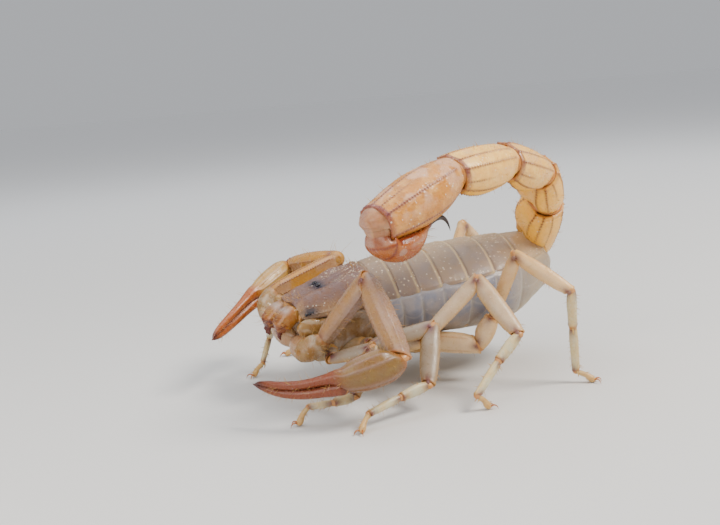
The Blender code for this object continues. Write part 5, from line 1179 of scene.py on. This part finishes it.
# --------------------------------------------------------------- chelicerae
def chelicerae():
    for s, tag, reach in ((1, "l", 0.0), (-1, "r", 0.25)):
        x, yb = 1.20 * s, -CARAPACE_LEN + 0.10
        sh = Shell()
        up = PRO_R @ V(0, 0, 1)
        P = tube([pro(x, yb + 0.25, -2.25), pro(x, yb - 0.55, -2.28), pro(x * 1.02, yb - 1.20 - reach, -2.55), pro(x * 1.02, yb - 1.72 - reach, -3.00), pro(x * 1.0, yb - 1.98 - reach, -3.48)],
                 [(0.74, 0.98), (0.88, 1.08), (0.92, 1.10), (0.80, 0.96), (0.46, 0.62)], up, 72, 90, oval(72, 2.7))
        T = np.linspace(0, 1, 90)[:, None]
        P = raised(P, 0.05 * (rough(P, 0.8, 700) - 0.5) + 0.09 * np.exp(-((T - 0.78) / 0.05) ** 2) + 0.05 * np.exp(-((T - 0.22) / 0.04) ** 2))
        ang = 2 * np.pi * (np.arange(72) + 0.5) / 72
        outer = fade(np.cos(ang) * s, -0.1, 0.8)[None]
        veins = np.exp(-((rough(P, 0.9, 706) - 0.5) / 0.022) ** 2) * fade(T, 0.45, 0.7)
        # the pale band round the top and outer side of each jaw's middle is painted highlight
        sh.add(P, 0, warm=np.clip(fade(T, 0.62, 0.9) + 0.35 * fade(rough(P, 0.9, 705), 0.45, 0.65), 0, 1), pale=np.clip(np.exp(-((T - 0.40) / 0.12) ** 2) * np.maximum(outer, fade(np.sin(ang), 0.3, 0.9)[None]), 0, 1),
               spot=np.clip(0.45 * fade(T, 0.80, 1.0) + 0.6 * fade(T, 0.60, 0.80) * fade(rough(P, 0.7, 709), 0.50, 0.60) + 0.75 * veins + 0.55 * np.exp(-((T - 0.84) / 0.02) ** 2), 0, 1))
        bristles(P, normals(P), 34, 0.55, 0.017, 710 + s, PRO_R @ V(0, -1, -0.1), 0.8, rows=(0.45, 0.9))
        # fixed finger on the inner side, movable finger on the outer
        for w, long, r in ((-0.40, 1.05, 0.30), (0.34, 1.25, 0.36)):
            b = pro(x + w * s, yb - 1.86 - reach, -2.95)
            f = PRO_R @ V(-0.10 * s * (1 if w > 0 else -1), -0.50, -0.86)
            q = PRO_R @ V(-0.35 * s * (1 if w > 0 else -1), 0.45, -0.89)
            C = tube([b, b + f * long * 0.45, b + f * long * 0.75 + q * 0.15, b + f * long * 0.85 + q * 0.55], [(r, r), (r * 0.85, r * 0.75), (r * 0.5, r * 0.48), (0.03, 0.03)], PRO_R @ V(s, 0, 0), 28, 60)
            U = np.linspace(0, 1, 60)[:, None]
            a2 = 2 * np.pi * (np.arange(28) + 0.5) / 28
            C = raised(C, 0.10 * np.exp(-((a2 - np.pi) / 0.5) ** 2)[None] * (0.5 + 0.5 * np.cos(U * 2 * np.pi * 4)) * fade(U, 0.25, 0.4) * fade(1 - U, 0.1, 0.3))
            sh.add(C, 0, spot=np.clip(0.25 + fade(U, 0.15, 0.55) + 0 * C[..., 0], 0, 1), warm=1)
        sh.build("chelicera_" + tag, [M["jaw"]], "chelicera", "chelicera_" + tag)
    # soft skin above and between the jaws, tucked under the shield
    sh = Shell()
    P = tube([pro(-2.3, -7.75, -2.75), pro(-1.1, -8.08, -2.30), pro(0, -8.20, -2.20), pro(1.1, -8.08, -2.30), pro(2.3, -7.75, -2.75)], [(0.45, 0.3), (0.80, 0.35), (0.85, 0.35), (0.80, 0.35), (0.45, 0.3)], PRO_R @ V(0, 0, 1), 32, 60)
    sh.add(P, warm=0.3)
    # the soft fold between the far claw's base and the shield's corner
    P = ellipsoid(pro(-3.0, -7.95, -2.10), PRO_R @ V(1, 0, 0), PRO_R @ V(0, 0, 1), PRO_R @ V(0, -1, 0), (0.85, 0.88, 0.62), 56, 40)
    P = raised(P, 0.22 * (rough(P, 0.8, 730) - 0.5) + grains(P, 0.26, 0.1, 0.03, 731, 0.5))
    sh.add(P, 1, warm=np.clip(0.9 * rough(P, 0.7, 732), 0, 1), pale=np.clip(0.5 * fade(rough(P, 0.6, 733), 0.5, 0.6), 0, 1))
    sh.build("mouth_skin", [M["gut"], M["knob"]], "chelicera", sharp=0)


# ------------------------------------------------- underside of the front body
def coxosternum():
    sh = Shell()
    rings = []
    top = CARAPACE_EDGE + 0.12
    f = [(1, 1.0, 0.0), (1, 1.04, 0.35), (1, 0.92, 0.8), (1, 0.5, 1.0), (-1, 0.5, 1.0), (-1, 0.92, 0.8), (-1, 1.04, 0.35), (-1, 1.0, 0.0)]
    for y, w, bot in ((-7.95, 2.0, -6.0), (-7.3, 2.7, -6.9), (-5.0, 3.40, -7.25), (-2.5, 3.62, -7.4), (-0.45, 3.8, -7.5), (0.6, 3.9, -7.5)):
        rings.append([pro(s * w * a, y, top + (bot - top) * b) for s, a, b in f])
    P = upsample(rings, 110, 112)
    P = raised(P, 0.16 * (rough(P, 1.1, 801) - 0.5) + 0.03 * np.sin(P[..., 1] * 7 + 3 * rough(P, 1.5, 805)))
    low = fade(-(P - PRO_P) @ PRO_R[:, 2], 5.8, 6.8)
    sh.add(P, 1, warm=np.clip(0.35 + 0.5 * low + 0.4 * fade(rough(P, 1.2, 807), 0.4, 0.6), 0, 1), pale=np.clip(fade(rough(P, 0.9, 808), 0.5, 0.64), 0, 1))
    for s in (1, -1):
        side = "l" if s > 0 else "r"
        for k, (inner, w0, w1) in enumerate((((0.25, -7.35, -6.6), 0.50, 0.74), ((0.35, -5.9, -6.9), 0.55, 0.86), ((0.95, -3.5, -7.05), 0.60, 0.96), ((1.0, -1.5, -7.1), 0.55, 0.96))):
            end = V(LEGS["%s%d" % (side, k + 1)][0])
            if k == 3:
                end = end * 0.9 + V(LEGS[side + "4"][1]) * 0.1
            a = pro(inner[0] * s, inner[1], inner[2])
            P = tube([a, a * 0.6 + end * 0.4 + V(0.1 * s, 0, -0.35), a * 0.15 + end * 0.85, end + (end - a) * 0.04], [(w0, w0), (w1 * 0.95, w1 * 0.9), (w1, w1 * 0.95), (w1 * 0.80, w1 * 0.78)], V(0, 0, 1), 52, 50, oval(52, 2.3))
            T = np.linspace(0, 1, 50)[:, None]
            P = raised(P, 0.04 * (rough(P, 0.9, 810 + k) - 0.5) + grains(P, 0.3, 0.11, 0.025, 820 + k, 0.5) + 0.06 * np.exp(-((T - 0.9) / 0.04) ** 2))
            sh.add(P, 0, warm=np.clip(0.25 + fade(T, 0.85, 0.98) * 0.6 + 0.3 * rough(P, 1.0, 830 + k), 0, 1), rim=0.6 * np.exp(-((T - 0.93) / 0.04) ** 2) + 0 * P[..., 0])
            bristles(P, normals(P), 12, 0.5, 0.014, 840 + k + 10 * (s > 0), V(s, 0, -0.3), 0.4, rows=(0.4, 0.95))
    # sternum and the two genital plates
    sh.add(tube([pro(0, -4.3, -7.25), pro(0, -3.6, -7.35), pro(0, -2.7, -7.42), pro(0, -1.9, -7.4)], [(0.12, 0.12), (0.26, 0.42), (0.30, 0.80), (0.22, 0.62)], PRO_R @ V(0, 0, 1), 48, 50, oval(48, 2.6)), 0, rim=0.3)
    for s in (1, -1):
        sh.add(tube([pro(0.15 * s, -1.35, -7.5), pro(0.65 * s, -1.25, -7.55), pro(1.25 * s, -1.15, -7.45)], [(0.18, 0.40), (0.26, 0.52), (0.12, 0.22)], PRO_R @ V(0, 0, 1), 40, 40), 0, rim=0.25)
    # the coxae take the front legs' darker painted-shade copy
    sh.build("coxosternum", [M["front"], M["cheek"]], "upper_limb", "coxosternum")


def combs():
    for s, tag in ((1, "l"), (-1, "r")):
        p, r, hw, drop, depth = meso(2.3)
        w = lambda a, b, c=0.0: p + r @ (V(1.30 * s, -0.4, -depth - 0.72 + c) + unit(V(s * 0.50, 0.86, 0.0)) * a + unit(V(-s * 0.86, 0.50, 0)) * b)
        sh = Shell()
        up = r @ V(0, 0, 1)
        P = tube([w(-0.5, 0.1, 0.3), w(0.2, 0.15), w(1.8, 0.12), w(3.3, 0.28), w(3.85, 0.45)], [(0.25, 0.30), (0.26, 0.36), (0.24, 0.32), (0.17, 0.22), (0.05, 0.06)], up, 40, 90)
        t = np.linspace(0, 1, 90)[:, None]
        sh.add(raised(P, 0.03 * np.cos(t * 2 * np.pi * 9) + 0.02 * (rough(P, 0.5, 850) - 0.5)))
        teeth = 24
        for k in range(teeth):
            a = 0.05 + 3.55 * k / (teeth - 1)
            base = 0.34 + 0.20 * (a / 3.6) ** 2
            sh.add(tube([w(a, base - 0.12), w(a + 0.02, base + 0.30), w(a + 0.06, base + 0.70), w(a + 0.08, base + 0.80)], [(0.11, 0.055), (0.15, 0.068), (0.13, 0.066), (0.04, 0.03)], up, 12, 18))
        sh.build("comb_" + tag, [M["comb"]], "comb", "pectine_" + tag)


# --------------------------------------------------------------------- tail
KEELS = ((0.0, 0.78), (0.60, 1.0), (0.93, 0.56), (1.0, -0.02), (0.84, -0.66), (0.36, -0.99),
         (0.0, -0.97), (-0.36, -0.99), (-0.84, -0.66), (-1.0, -0.02), (-0.93, 0.56), (-0.60, 1.0))
KEELS_V = ((0.0, 0.80), (0.52, 0.92), (0.88, 0.56), (1.0, 0.02), (0.86, -0.56), (0.42, -0.88),
           (0.0, -1.0), (-0.42, -0.88), (-0.86, -0.56), (-1.0, 0.02), (-0.88, 0.56), (-0.52, 0.92))


def tail():
    js, dirs, ups = tail_frames()
    # half width, half depth of the outer side and of the inner side, along ring I, rings II-IV and ring V
    root = (((0, 0.86), (0.16, 0.95), (0.4, 1.0), (0.7, 1.01), (0.9, 0.96), (1, 0.88)),
            ((0, 0.86), (0.2, 0.97), (0.5, 1.02), (0.85, 1.0), (1, 0.93)),
            ((0, 0.86), (0.2, 0.95), (0.5, 1.02), (0.8, 0.93), (1, 0.70)))
    middle = (((0, 0.74), (0.05, 0.79), (0.16, 0.90), (0.36, 0.985), (0.6, 1.02), (0.82, 1.0), (0.95, 0.93), (1, 0.87)),
              ((0, 0.80), (0.06, 0.87), (0.2, 0.97), (0.5, 1.03), (0.82, 1.02), (0.95, 0.97), (1, 0.92)),
              ((0, 0.56), (0.07, 0.64), (0.2, 0.82), (0.45, 1.0), (0.65, 1.02), (0.85, 0.91), (1, 0.72)))
    last = (((0, 0.72), (0.06, 0.80), (0.2, 0.95), (0.42, 1.05), (0.66, 1.0), (0.85, 0.89), (1, 0.79)),
            ((0, 0.80), (0.06, 0.87), (0.2, 0.98), (0.42, 1.06), (0.66, 1.01), (0.85, 0.90), (1, 0.79)),
            ((0, 0.58), (0.06, 0.69), (0.2, 0.91), (0.42, 1.05), (0.66, 1.01), (0.85, 0.90), (1, 0.79)))
    N, m = 240, 132
    for i in range(5):
        sec = corners(KEELS_V if i == 4 else KEELS, N)
        turn = np.arctan2(sec[:, 1], sec[:, 0])
        soft = np.stack([np.sign(np.cos(turn)) * np.abs(np.cos(turn)) ** 0.87, np.sign(np.sin(turn)) * np.abs(np.sin(turn)) ** 0.87], 1)
        sec = sec * 0.62 + soft * 0.38
        T = np.linspace(0, 1, m)
        kx, kn, kp = [curve(*zip(*q))(T)[:, None] for q in (last if i == 4 else middle if i else root)]
        d, up = dirs[i], ups[i]
        side = np.cross(d, up)
        a, b = js[i], js[i + 1]
        L = np.linalg.norm(b - a)
        c0 = (a + d * 0.03, unit(dirs[i - 1] + d)) if i else tail_root()
        c1 = (b - d * 0.03, unit(d + dirs[i + 1])) if i < 4 else (b, d)
        inside = fade(sec[:, 1], -0.3, 0.3)[None]
        flat = a + side * (RING_HW[i] * kx * sec[:, 0])[..., None] + up * (RING_HD[i] * (kn * (1 - inside) + kp * inside) * sec[:, 1])[..., None]
        P0, P1 = onto(flat, d, *c0), onto(flat, d, *c1)
        P = P0 + (P1 - P0) * T[:, None, None]
        X = T[:, None] + 0 * sec[None, :, 0]
        y = sec[None, :, 1] + 0 * X
        xx = sec[None, :, 0] + 0 * X
        belly_side = fade(-y, -0.2, 0.6)
        q = N // 12
        keep = fade(T, 0.04, 0.12) * (0.7 + 0.3 * fade(T, 0.2, 0.9)) * fade(1.03 - T, 0.0, 0.05)
        main = [q * c for c in ((1, 2, 4, 5, 7, 8, 10, 11) if i < 4 else (2, 4, 6, 8, 10))]
        extra = [q * c for c in ((3, 9) if i < 4 else (5, 7))]
        kh, km = ridge(P, main, 0.14, 0.10, 0.30, keep, 1.40)
        part = keep if i == 0 else keep * fade(T, 0.45, 0.8)
        eh, em = ridge(P, extra, 0.10, 0.09, 0.29, part, 1.15)
        lip = np.exp(-(((1 - X) * L - 0.15) / 0.12) ** 2)
        trough = np.exp(-(xx / 0.36) ** 2) * fade(y, 0.2, 0.7)
        gr = grains(P, 0.27, 0.12, 0.05, 900 + i, 0.75) * fade(rough(P, 1.3, 910 + i), 0.2, 0.55)
        bulge = 0.09 * np.sin(np.clip(X, 0, 1) * np.pi) * (1 - fade(np.maximum(km, em), 0.1, 0.6))
        h = np.maximum(kh, eh) + lip * 0.06 + gr * (1 - 0.85 * fade(y, 0.1, 0.6)) * fade(X, 0.05, 0.15) + 0.06 * (rough(P, 1.1, 920 + i) - 0.5) + bulge * 0.6
        P = raised(P, h)
        # the lip turns in to a skin-lined mouth; the foot is carried back as a narrow neck
        many, deep = 7, 0.45
        inner, foot = [], []
        R, c = P[-1], P[-1].mean(0)
        for j in range(1, many + 1):
            t = j / many
            inner.append(c + (R - c) * (1 - 0.26 * t ** 0.7) - d * deep * max(0.0, t - 0.3) + d * 0.04 * math.sin(t * 4.2))
        R, c = P[0], P[0].mean(0)
        back = dirs[i - 1] if i else unit(d - up * 0.5)
        for j in range(1, many + 1):
            t = j / many
            foot.append(c + (R - c) * (1 - 0.16 * t ** 0.8) - unit(back + d) * (0.70 if i else 0.6) * t)
        G = np.concatenate([np.array(foot)[::-1], P, np.array(inner)])
        ext = lambda A, v0, v1: np.concatenate([np.full((many, N), v0), A, np.full((many, N), v1)])
        red = (0.30, 0.45, 0.9, 1.0, 1.0)[i] * fade((1 - X) * L, 0.50, 0.26) * (0.75 + 0.4 * rough(P, 0.8, 925 + i)) * (0.55 + 0.45 * belly_side)
        # warm: amber on each ring's inner face and root, partly own colour, partly painted glow of light through the
        # ring; rings I-II get an extra painted glow
        warm = fade(y, 0.1, 0.7) * (1.0 - 0.15 * trough) * (1.0 if i < 4 else 0.85) + 0.55 * fade(1 - X * L / 0.9, 0.0, 1.0)
        warm = warm + (0.45, 0.65, 0.15, 0.0, 0.0)[i] * (0.5 + 1.0 * rough(P, 1.2, 938 + i))
        near_keel = fade(km, 0.02, 0.5) * (1 - fade(km, 0.55, 0.8))
        if i == 4:
            warm = np.maximum(warm, 0.75 * fade(rough(P, 1.6, 927), 0.42, 0.6) * fade(X, 0.0, 0.3))
        pale = (fade(rough(P, 1.1, 930 + i), 0.46, 0.62) * fade(-y + 0.4, 0.0, 0.8) + 0.5 * near_keel * (0.4 + rough(P, 0.5, 935 + i))) * (0.8 if i > 1 else 0.3)
        sh = Shell()
        sh.add(G, 0, keel=ext(np.clip(np.maximum(km, em * 0.85) * 1.0, 0, 1), 0.3, 0.0), warm=ext(np.clip(warm, 0, 1), 0.9, 0.95),
               rim=ext(np.clip(red, 0, 1), 0.3, 0.85), pale=ext(np.clip(pale, 0, 1), 0, 0))
        sh.build("tail_ring_%d" % (i + 1), [M["tail5" if i == 4 else "tail"]], "tail_ring" if i < 4 else "tail_ring_five", "metasoma_%d" % (i + 1))
        bristles(P, normals(P), 46, 0.55, 0.015, 940 + i, d, 0.4, rows=(0.1, 0.97))
    sh = Shell()
    for i in range(1, 5):
        w = halfway(js[i - 1], js[i], js[i + 1])
        side = np.cross(dirs[i], ups[i])
        blob(sh, js[i] + w * 0.02 - ups[i] * 0.16, side, unit(np.cross(side, w)), w, (RING_HW[i - 1] * 0.83, RING_HD[i - 1] * 0.78, 0.46), 64, 24, warm=1.0)
    sh.build("tail_joint_skin", [M["gut"]], "tail_ring", sharp=0)
    telson(js, dirs, ups)


def telson(js, dirs, ups):
    """The venom bulb folded back close under ring V, and the hooked sting."""
    d, u, end = dirs[4], ups[4], js[5]
    side = np.cross(d, u)
    a = end + d * 0.45 + u * 1.35
    c = end - d * (BULB_LEN - 0.45) + u * 2.50
    fwd = unit(c - a)
    low = unit(np.cross(side, fwd))
    low = low if float(low @ u) > 0 else -low
    # skin that closes the end of ring V and runs on into the bulb
    sh = Shell()
    hw, hd = RING_HW[4] * 0.70, RING_HD[4] * 0.72
    P = tube([end - d * 0.75, end - d * 0.1, end + d * 0.14 + u * 0.08, end + d * 0.32 + u * 0.30, end + d * 0.44 + u * 0.6], [(hd, hw), (hd * 1.02, hw * 1.02), (hd * 0.94, hw * 0.95), (hd * 0.66, hw * 0.72), (hd * 0.1, hw * 0.1)], u, 80, 60)
    P = raised(P, 0.10 * (rough(P, 0.7, 960) - 0.5) + 0.02 * np.sin(((P - end) @ u) * 12))
    folds = lambda P: 0.5 + 0.5 * np.cos(((P - end) @ side) * 3.0 + 5.0 * (rough(P, 1.5, 962) - 0.5) + 0.35 * ((P - end) @ u) + 0.8)
    sh.add(P, pale=np.clip(0.35 + 0.75 * folds(P), 0, 1), warm=0.35, keel=np.clip(0.55 * fade(0.35 - folds(P), 0, 0.3), 0, 1))
    P = ellipsoid(end + u * 0.30 + d * 0.02, side, u, d, (1.46, 1.50, 1.00), 110, 70)
    P = raised(P, 0.10 * (rough(P, 0.9, 963) - 0.5) + 0.07 * (folds(P) - 0.5))
    hang = (P - end) @ u
    sh.add(P, pale=np.clip((0.25 + 0.85 * folds(P)) * (0.7 + 0.5 * rough(P, 0.6, 964)), 0, 1), warm=0.35 + 0.5 * fade(hang, 1.0, 1.6),
           keel=np.clip(0.75 * fade(0.45 - folds(P), 0, 0.4) + 0.9 * fade(hang, 1.30, 1.62), 0, 1))
    sh.build("tail_end_skin", [M["gut"]], "venom_bulb", sharp=0)
    N, m = 132, 204
    turn = 2 * np.pi * (np.arange(24) + 0.5) / 24
    cs, sn = np.cos(turn), np.sin(turn)
    rings = []
    turn_r = 0.30
    pivot = end + d * 0.02 + u * 1.36
    for deg, high, wide in ((-20, 0.85, 1.15), (5, 0.90, 1.28), (35, 0.82, 1.38), (65, 0.80, 1.48), (95, 0.88, 1.60), (125, 1.08, 1.76), (152, 1.30, 1.88)):
        q = math.radians(deg)
        out = -u * math.cos(q) + d * math.sin(q)
        rings.append(pivot + out * (turn_r - high * sn)[:, None] - side * (wide * cs)[:, None])
    for x, wide, under, over, drop in ((1.15, 1.95, 1.52, 0.98, 0.16), (2.0, 2.02, 1.66, 0.98, 0.18), (2.9, 1.98, 1.58, 0.95, 0.16), (3.9, 1.66, 1.24, 0.86, 0.08), (4.8, 1.12, 0.78, 0.66, -0.14), (5.5, 0.70, 0.52, 0.48, -0.34), (5.95, 0.55, 0.42, 0.42, -0.43)):
        cen = a + fwd * x + low * (0.50 + drop)
        rings.append(cen - side * (wide * cs)[:, None] - low * (np.where(sn > 0, over, under) * sn)[:, None])
    P = upsample(rings, m, N)
    T = np.linspace(0, 1, m)[:, None] + np.zeros((1, N))
    cols = [int(N * c) for c in (0.62, 0.75, 0.88, 0.10, 0.40)]
    keep = fade(np.linspace(0, 1, m), 0.30, 0.45) * fade(1 - np.linspace(0, 1, m), 0.08, 0.25)
    kh, km = ridge(P, cols, 0.045, 0.15, 0.0, keep)
    g = grains(P, 0.34, 0.14, 0.06, 965, 0.5) * fade(T, 0.30, 0.45) * fade(rough(P, 1.2, 966), 0.35, 0.6)
    P = raised(P, kh + g + 0.07 * (rough(P, 0.9, 967) - 0.5) - 0.05 * np.exp(-((T - 0.27) / 0.02) ** 2))
    hang, ahead = (P - end) @ u, (P - end) @ d
    wob = 0.25 * (rough(P, 0.9, 972) - 0.5)
    skin = fade(1.62 - hang + wob, 0.0, 0.22) * fade(ahead, -0.15, 0.10)
    crease = np.exp(-((hang - 1.70 - wob) / 0.13) ** 2) * fade(ahead, -0.1, 0.2) + np.exp(-((T - 0.27) / 0.018) ** 2) + fade(2.06 - hang - 0.05 * ahead, 0.0, 0.22) * fade(-ahead, 0.1, 0.5)
    # the next two masks are painted light: a pale pink band across the bulb's top, partly its own colour and partly
    # painted highlight, and a pale patch on the near side only, a painted highlight
    band = np.exp(-((hang - 2.40 + 0.05 * ahead) / 0.21) ** 2) * fade(-ahead, 0.9, 1.7) * fade(4.9 + ahead, 0, 0.8)
    near_side_highlight = np.exp(-(((ahead + 0.35) / 0.42) ** 2 + ((hang - 2.62) / 0.34) ** 2)) * fade(np.sign(float(side[0])) * ((P - end) @ side), 0.2, 0.9)
    sh = Shell()
    sh.add(P, keel=np.clip(km * 0.4 + 0.9 * crease * (1 - 0.7 * skin) + 0.5 * skin * fade(0.35 - folds(P), 0, 0.3), 0, 1), warm=np.clip(0.7 * fade(rough(P, 1.4, 968), 0.4, 0.65) + 0.5 * fade(hang, 2.2, 2.9), 0, 1),
           pale=np.clip(skin * (0.35 + 0.75 * folds(P)) + 0.75 * band + 1.2 * fade(near_side_highlight, 0.35, 0.6), 0, 1), spot=np.clip(fade(T, 0.90, 1.0), 0, 1) * 0.9)
    sh.build("venom_bulb", [M["bulb"]], "venom_bulb", "vesicle")
    bristles(P, normals(P), 60, 0.8, 0.015, 971, fwd, 0.25, rows=(0.35, 0.95))
    base = a + fwd * 5.75 + low * 0.05
    path, size = [], []
    for k in range(12):
        t = k / 11
        x = (STING_LEN - 0.35) * 0.80 * math.sin(t * 1.45)
        y = -0.35 * math.sin(t * math.pi * 0.85) + 1.60 * t ** 2.6
        path.append(base + fwd * x + low * y)
        r = 0.40 * (1 - t) ** 0.85 + 0.018
        size.append((r, r))
    P = tube(path, size, side, 40, 110)
    sh = Shell()
    sh.add(raised(P, 0.015 * (rough(P, 0.8, 975) - 0.5)))
    sh.build("sting", [M["sting"]], "sting", "sting", sharp=0)


# ------------------------------------------------------------------ bristles
def comb_hairs():
    """Every bristle in one piece: a fine curved cone, seated by its root on the unwrap."""
    v, faces, uv, n0 = [], [], [], 0
    rings, sides = 5, 4
    turn = 2 * np.pi * np.arange(sides) / sides
    for root, d, long, r, (cell, fu, fv), droop in HAIRS:
        ax = unit(np.cross(d, V(0.3, 0.5, 0.81) if abs(d[2]) < 0.95 else V(1, 0, 0)))
        ay = np.cross(d, ax)
        bend = ax * (0.16 * long)
        t = np.linspace(0, 1, rings)
        C = root + d * (long * t)[:, None] + bend * (t ** 2)[:, None]
        R = r * (1 - t ** 1.5) + 0.003
        P = C[:, None] + ax * (R[:, None] * np.cos(turn))[..., None] + ay * (R[:, None] * np.sin(turn))[..., None]
        tip = C[-1] + d * 0.02
        P[..., 2], tip[2] = np.maximum(P[..., 2], 0.01), max(tip[2], 0.012)
        v.append(P.reshape(-1, 3))
        v.append(tip[None])
        u0, v0 = (cell % 10 + 0.08 + 0.84 * fu) / 10, (cell // 10 % 10 + 0.08 + 0.84 * fv) / 10
        w = lambda k, j: (u0 - 0.0015 + 0.003 * j / sides, v0 - 0.0015 + 0.003 * k / rings)
        for k in range(rings - 1):
            for j in range(sides):
                j2 = (j + 1) % sides
                faces.append((n0 + k * sides + j, n0 + k * sides + j2, n0 + (k + 1) * sides + j2, n0 + (k + 1) * sides + j))
                uv += [w(k, j), w(k, j + 1), w(k + 1, j + 1), w(k + 1, j)]
        for j in range(sides):
            faces.append((n0 + (rings - 1) * sides + j, n0 + (rings - 1) * sides + (j + 1) % sides, n0 + rings * sides))
            uv += [w(rings - 1, j), w(rings - 1, j + 1), w(rings, j + 0.5)]
        faces.append(tuple(n0 + j for j in range(sides))[::-1])
        uv += [w(0, j) for j in range(sides)][::-1]
        n0 += rings * sides + 1
    me = bpy.data.meshes.new("bristles")
    me.from_pydata(((np.concatenate(v) - MIDDLE) * MM).tolist(), [], faces)
    me.update()
    me.shade_smooth()
    lay = me.uv_layers.new(name="OFBake")
    lay.data.foreach_set("uv", np.array(uv, np.float32).ravel())
    me.materials.append(M["hair"])
    ob = bpy.data.objects.new("bristles", me)
    bpy.context.scene.collection.objects.link(ob)
    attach(ob, "root")


head_shield()
eyes()
back_plates()
side_skin()
belly_plates()
coxosternum()
combs()
chelicerae()
tail()
legs()
pedipalps()
comb_hairs()


# ------------------------------------------------------ floor, light, camera
def floor_with_painted_light(name, rgb, rough_at):
    m = bpy.data.materials.new(name)
    m.use_nodes = True
    nt = m.node_tree
    b = nt.nodes["Principled BSDF"]
    t = nt.nodes.new("ShaderNodeTexNoise")
    t.inputs["Scale"].default_value = 60
    r = nt.nodes.new("ShaderNodeMapRange")
    r.inputs["To Min"].default_value, r.inputs["To Max"].default_value = rough_at - 0.05, rough_at + 0.05
    nt.links.new(t.outputs["Fac"], r.inputs["Value"])
    nt.links.new(r.outputs["Result"], b.inputs["Roughness"])
    co = nt.nodes.new("ShaderNodeTexCoord")
    far = nt.nodes.new("ShaderNodeVectorMath")
    far.operation = "LENGTH"
    nt.links.new(co.outputs["Object"], far.inputs[0])
    # the floor is painted paler away from the middle, standing in for lamp light that falls off with distance
    reach = nt.nodes.new("ShaderNodeMapRange")
    reach.interpolation_type = "SMOOTHSTEP"
    reach.inputs["From Min"].default_value, reach.inputs["From Max"].default_value = 0.04, 0.26
    nt.links.new(far.outputs["Value"], reach.inputs["Value"])
    mixed = nt.nodes.new("ShaderNodeMix")
    mixed.data_type = "RGBA"
    ends = [i for i in mixed.inputs if i.type == "RGBA"]
    ends[0].default_value, ends[1].default_value = (*rgb, 1), (0.98, 0.98, 0.98, 1)
    nt.links.new(reach.outputs["Result"], mixed.inputs[0])
    nt.links.new([o for o in mixed.outputs if o.type == "RGBA"][0], b.inputs["Base Color"])
    return m


fl = bpy.data.meshes.new("studio_floor")
fl.from_pydata([(-2, -2, 0), (2, -2, 0), (2, 2, 0), (-2, 2, 0)], [], [(0, 1, 2, 3)])
fl.materials.append(floor_with_painted_light("studio_floor_finish", (0.66, 0.65, 0.63), 0.8))
floor = bpy.data.objects.new("studio_floor", fl)
bpy.context.scene.collection.objects.link(floor)

world = bpy.data.worlds.new("soft_room")
bpy.context.scene.world = world
world.use_nodes = True
world.node_tree.nodes["Background"].inputs["Color"].default_value = (0.80, 0.82, 0.86, 1)
world.node_tree.nodes["Background"].inputs["Strength"].default_value = 0.62


def look(ob, at, target, roll=0.0):
    from mathutils import Vector
    q = (Vector(target) - Vector(at)).to_track_quat("-Z", "Y")
    ob.location = at
    ob.rotation_euler = q.to_euler()


def lamp(name, at, size, power, rgb, target=(0.004, 0.001, 0.010)):
    l = bpy.data.lights.new(name, "AREA")
    l.shape, l.size, l.energy, l.color = "DISK", size, power, rgb
    ob = bpy.data.objects.new(name, l)
    bpy.context.scene.collection.objects.link(ob)
    look(ob, at, target)


AZ, EL, ROLL = math.radians(72.62), math.radians(9.96), math.radians(-4.79)
back = V(math.sin(AZ) * math.cos(EL), -math.cos(AZ) * math.cos(EL), math.sin(EL))
right = V(math.cos(AZ), math.sin(AZ), 0)
upv = np.cross(back, right)
r2 = math.cos(ROLL) * right + math.sin(ROLL) * upv
u2 = -math.sin(ROLL) * right + math.cos(ROLL) * upv
pos = (V(4, 3, 8) - MIDDLE + back * 98.43 + r2 * -6.153 + u2 * 4.233) * MM
cam_data = bpy.data.cameras.new("camera")
cam_data.sensor_width, cam_data.lens, cam_data.clip_start = 36.0, 1006.53 / 720 * 36, 0.001
cam = bpy.data.objects.new("camera", cam_data)
from mathutils import Matrix
cam.matrix_world = Matrix([[r2[i], u2[i], back[i], pos[i]] for i in range(3)] + [[0, 0, 0, 1]])
bpy.context.scene.collection.objects.link(cam)
bpy.context.scene.camera = cam

lamp("key", (0.10, 0.12, 0.19), 0.09, 0.70, (1.0, 0.95, 0.88))
lamp("sky", (-0.06, 0.00, 0.26), 0.30, 0.45, (0.90, 0.95, 1.0))
lamp("fill", tuple(pos * 0.9 + V(-0.02, -0.07, 0.05)), 0.12, 0.12, (1.0, 0.96, 0.92))

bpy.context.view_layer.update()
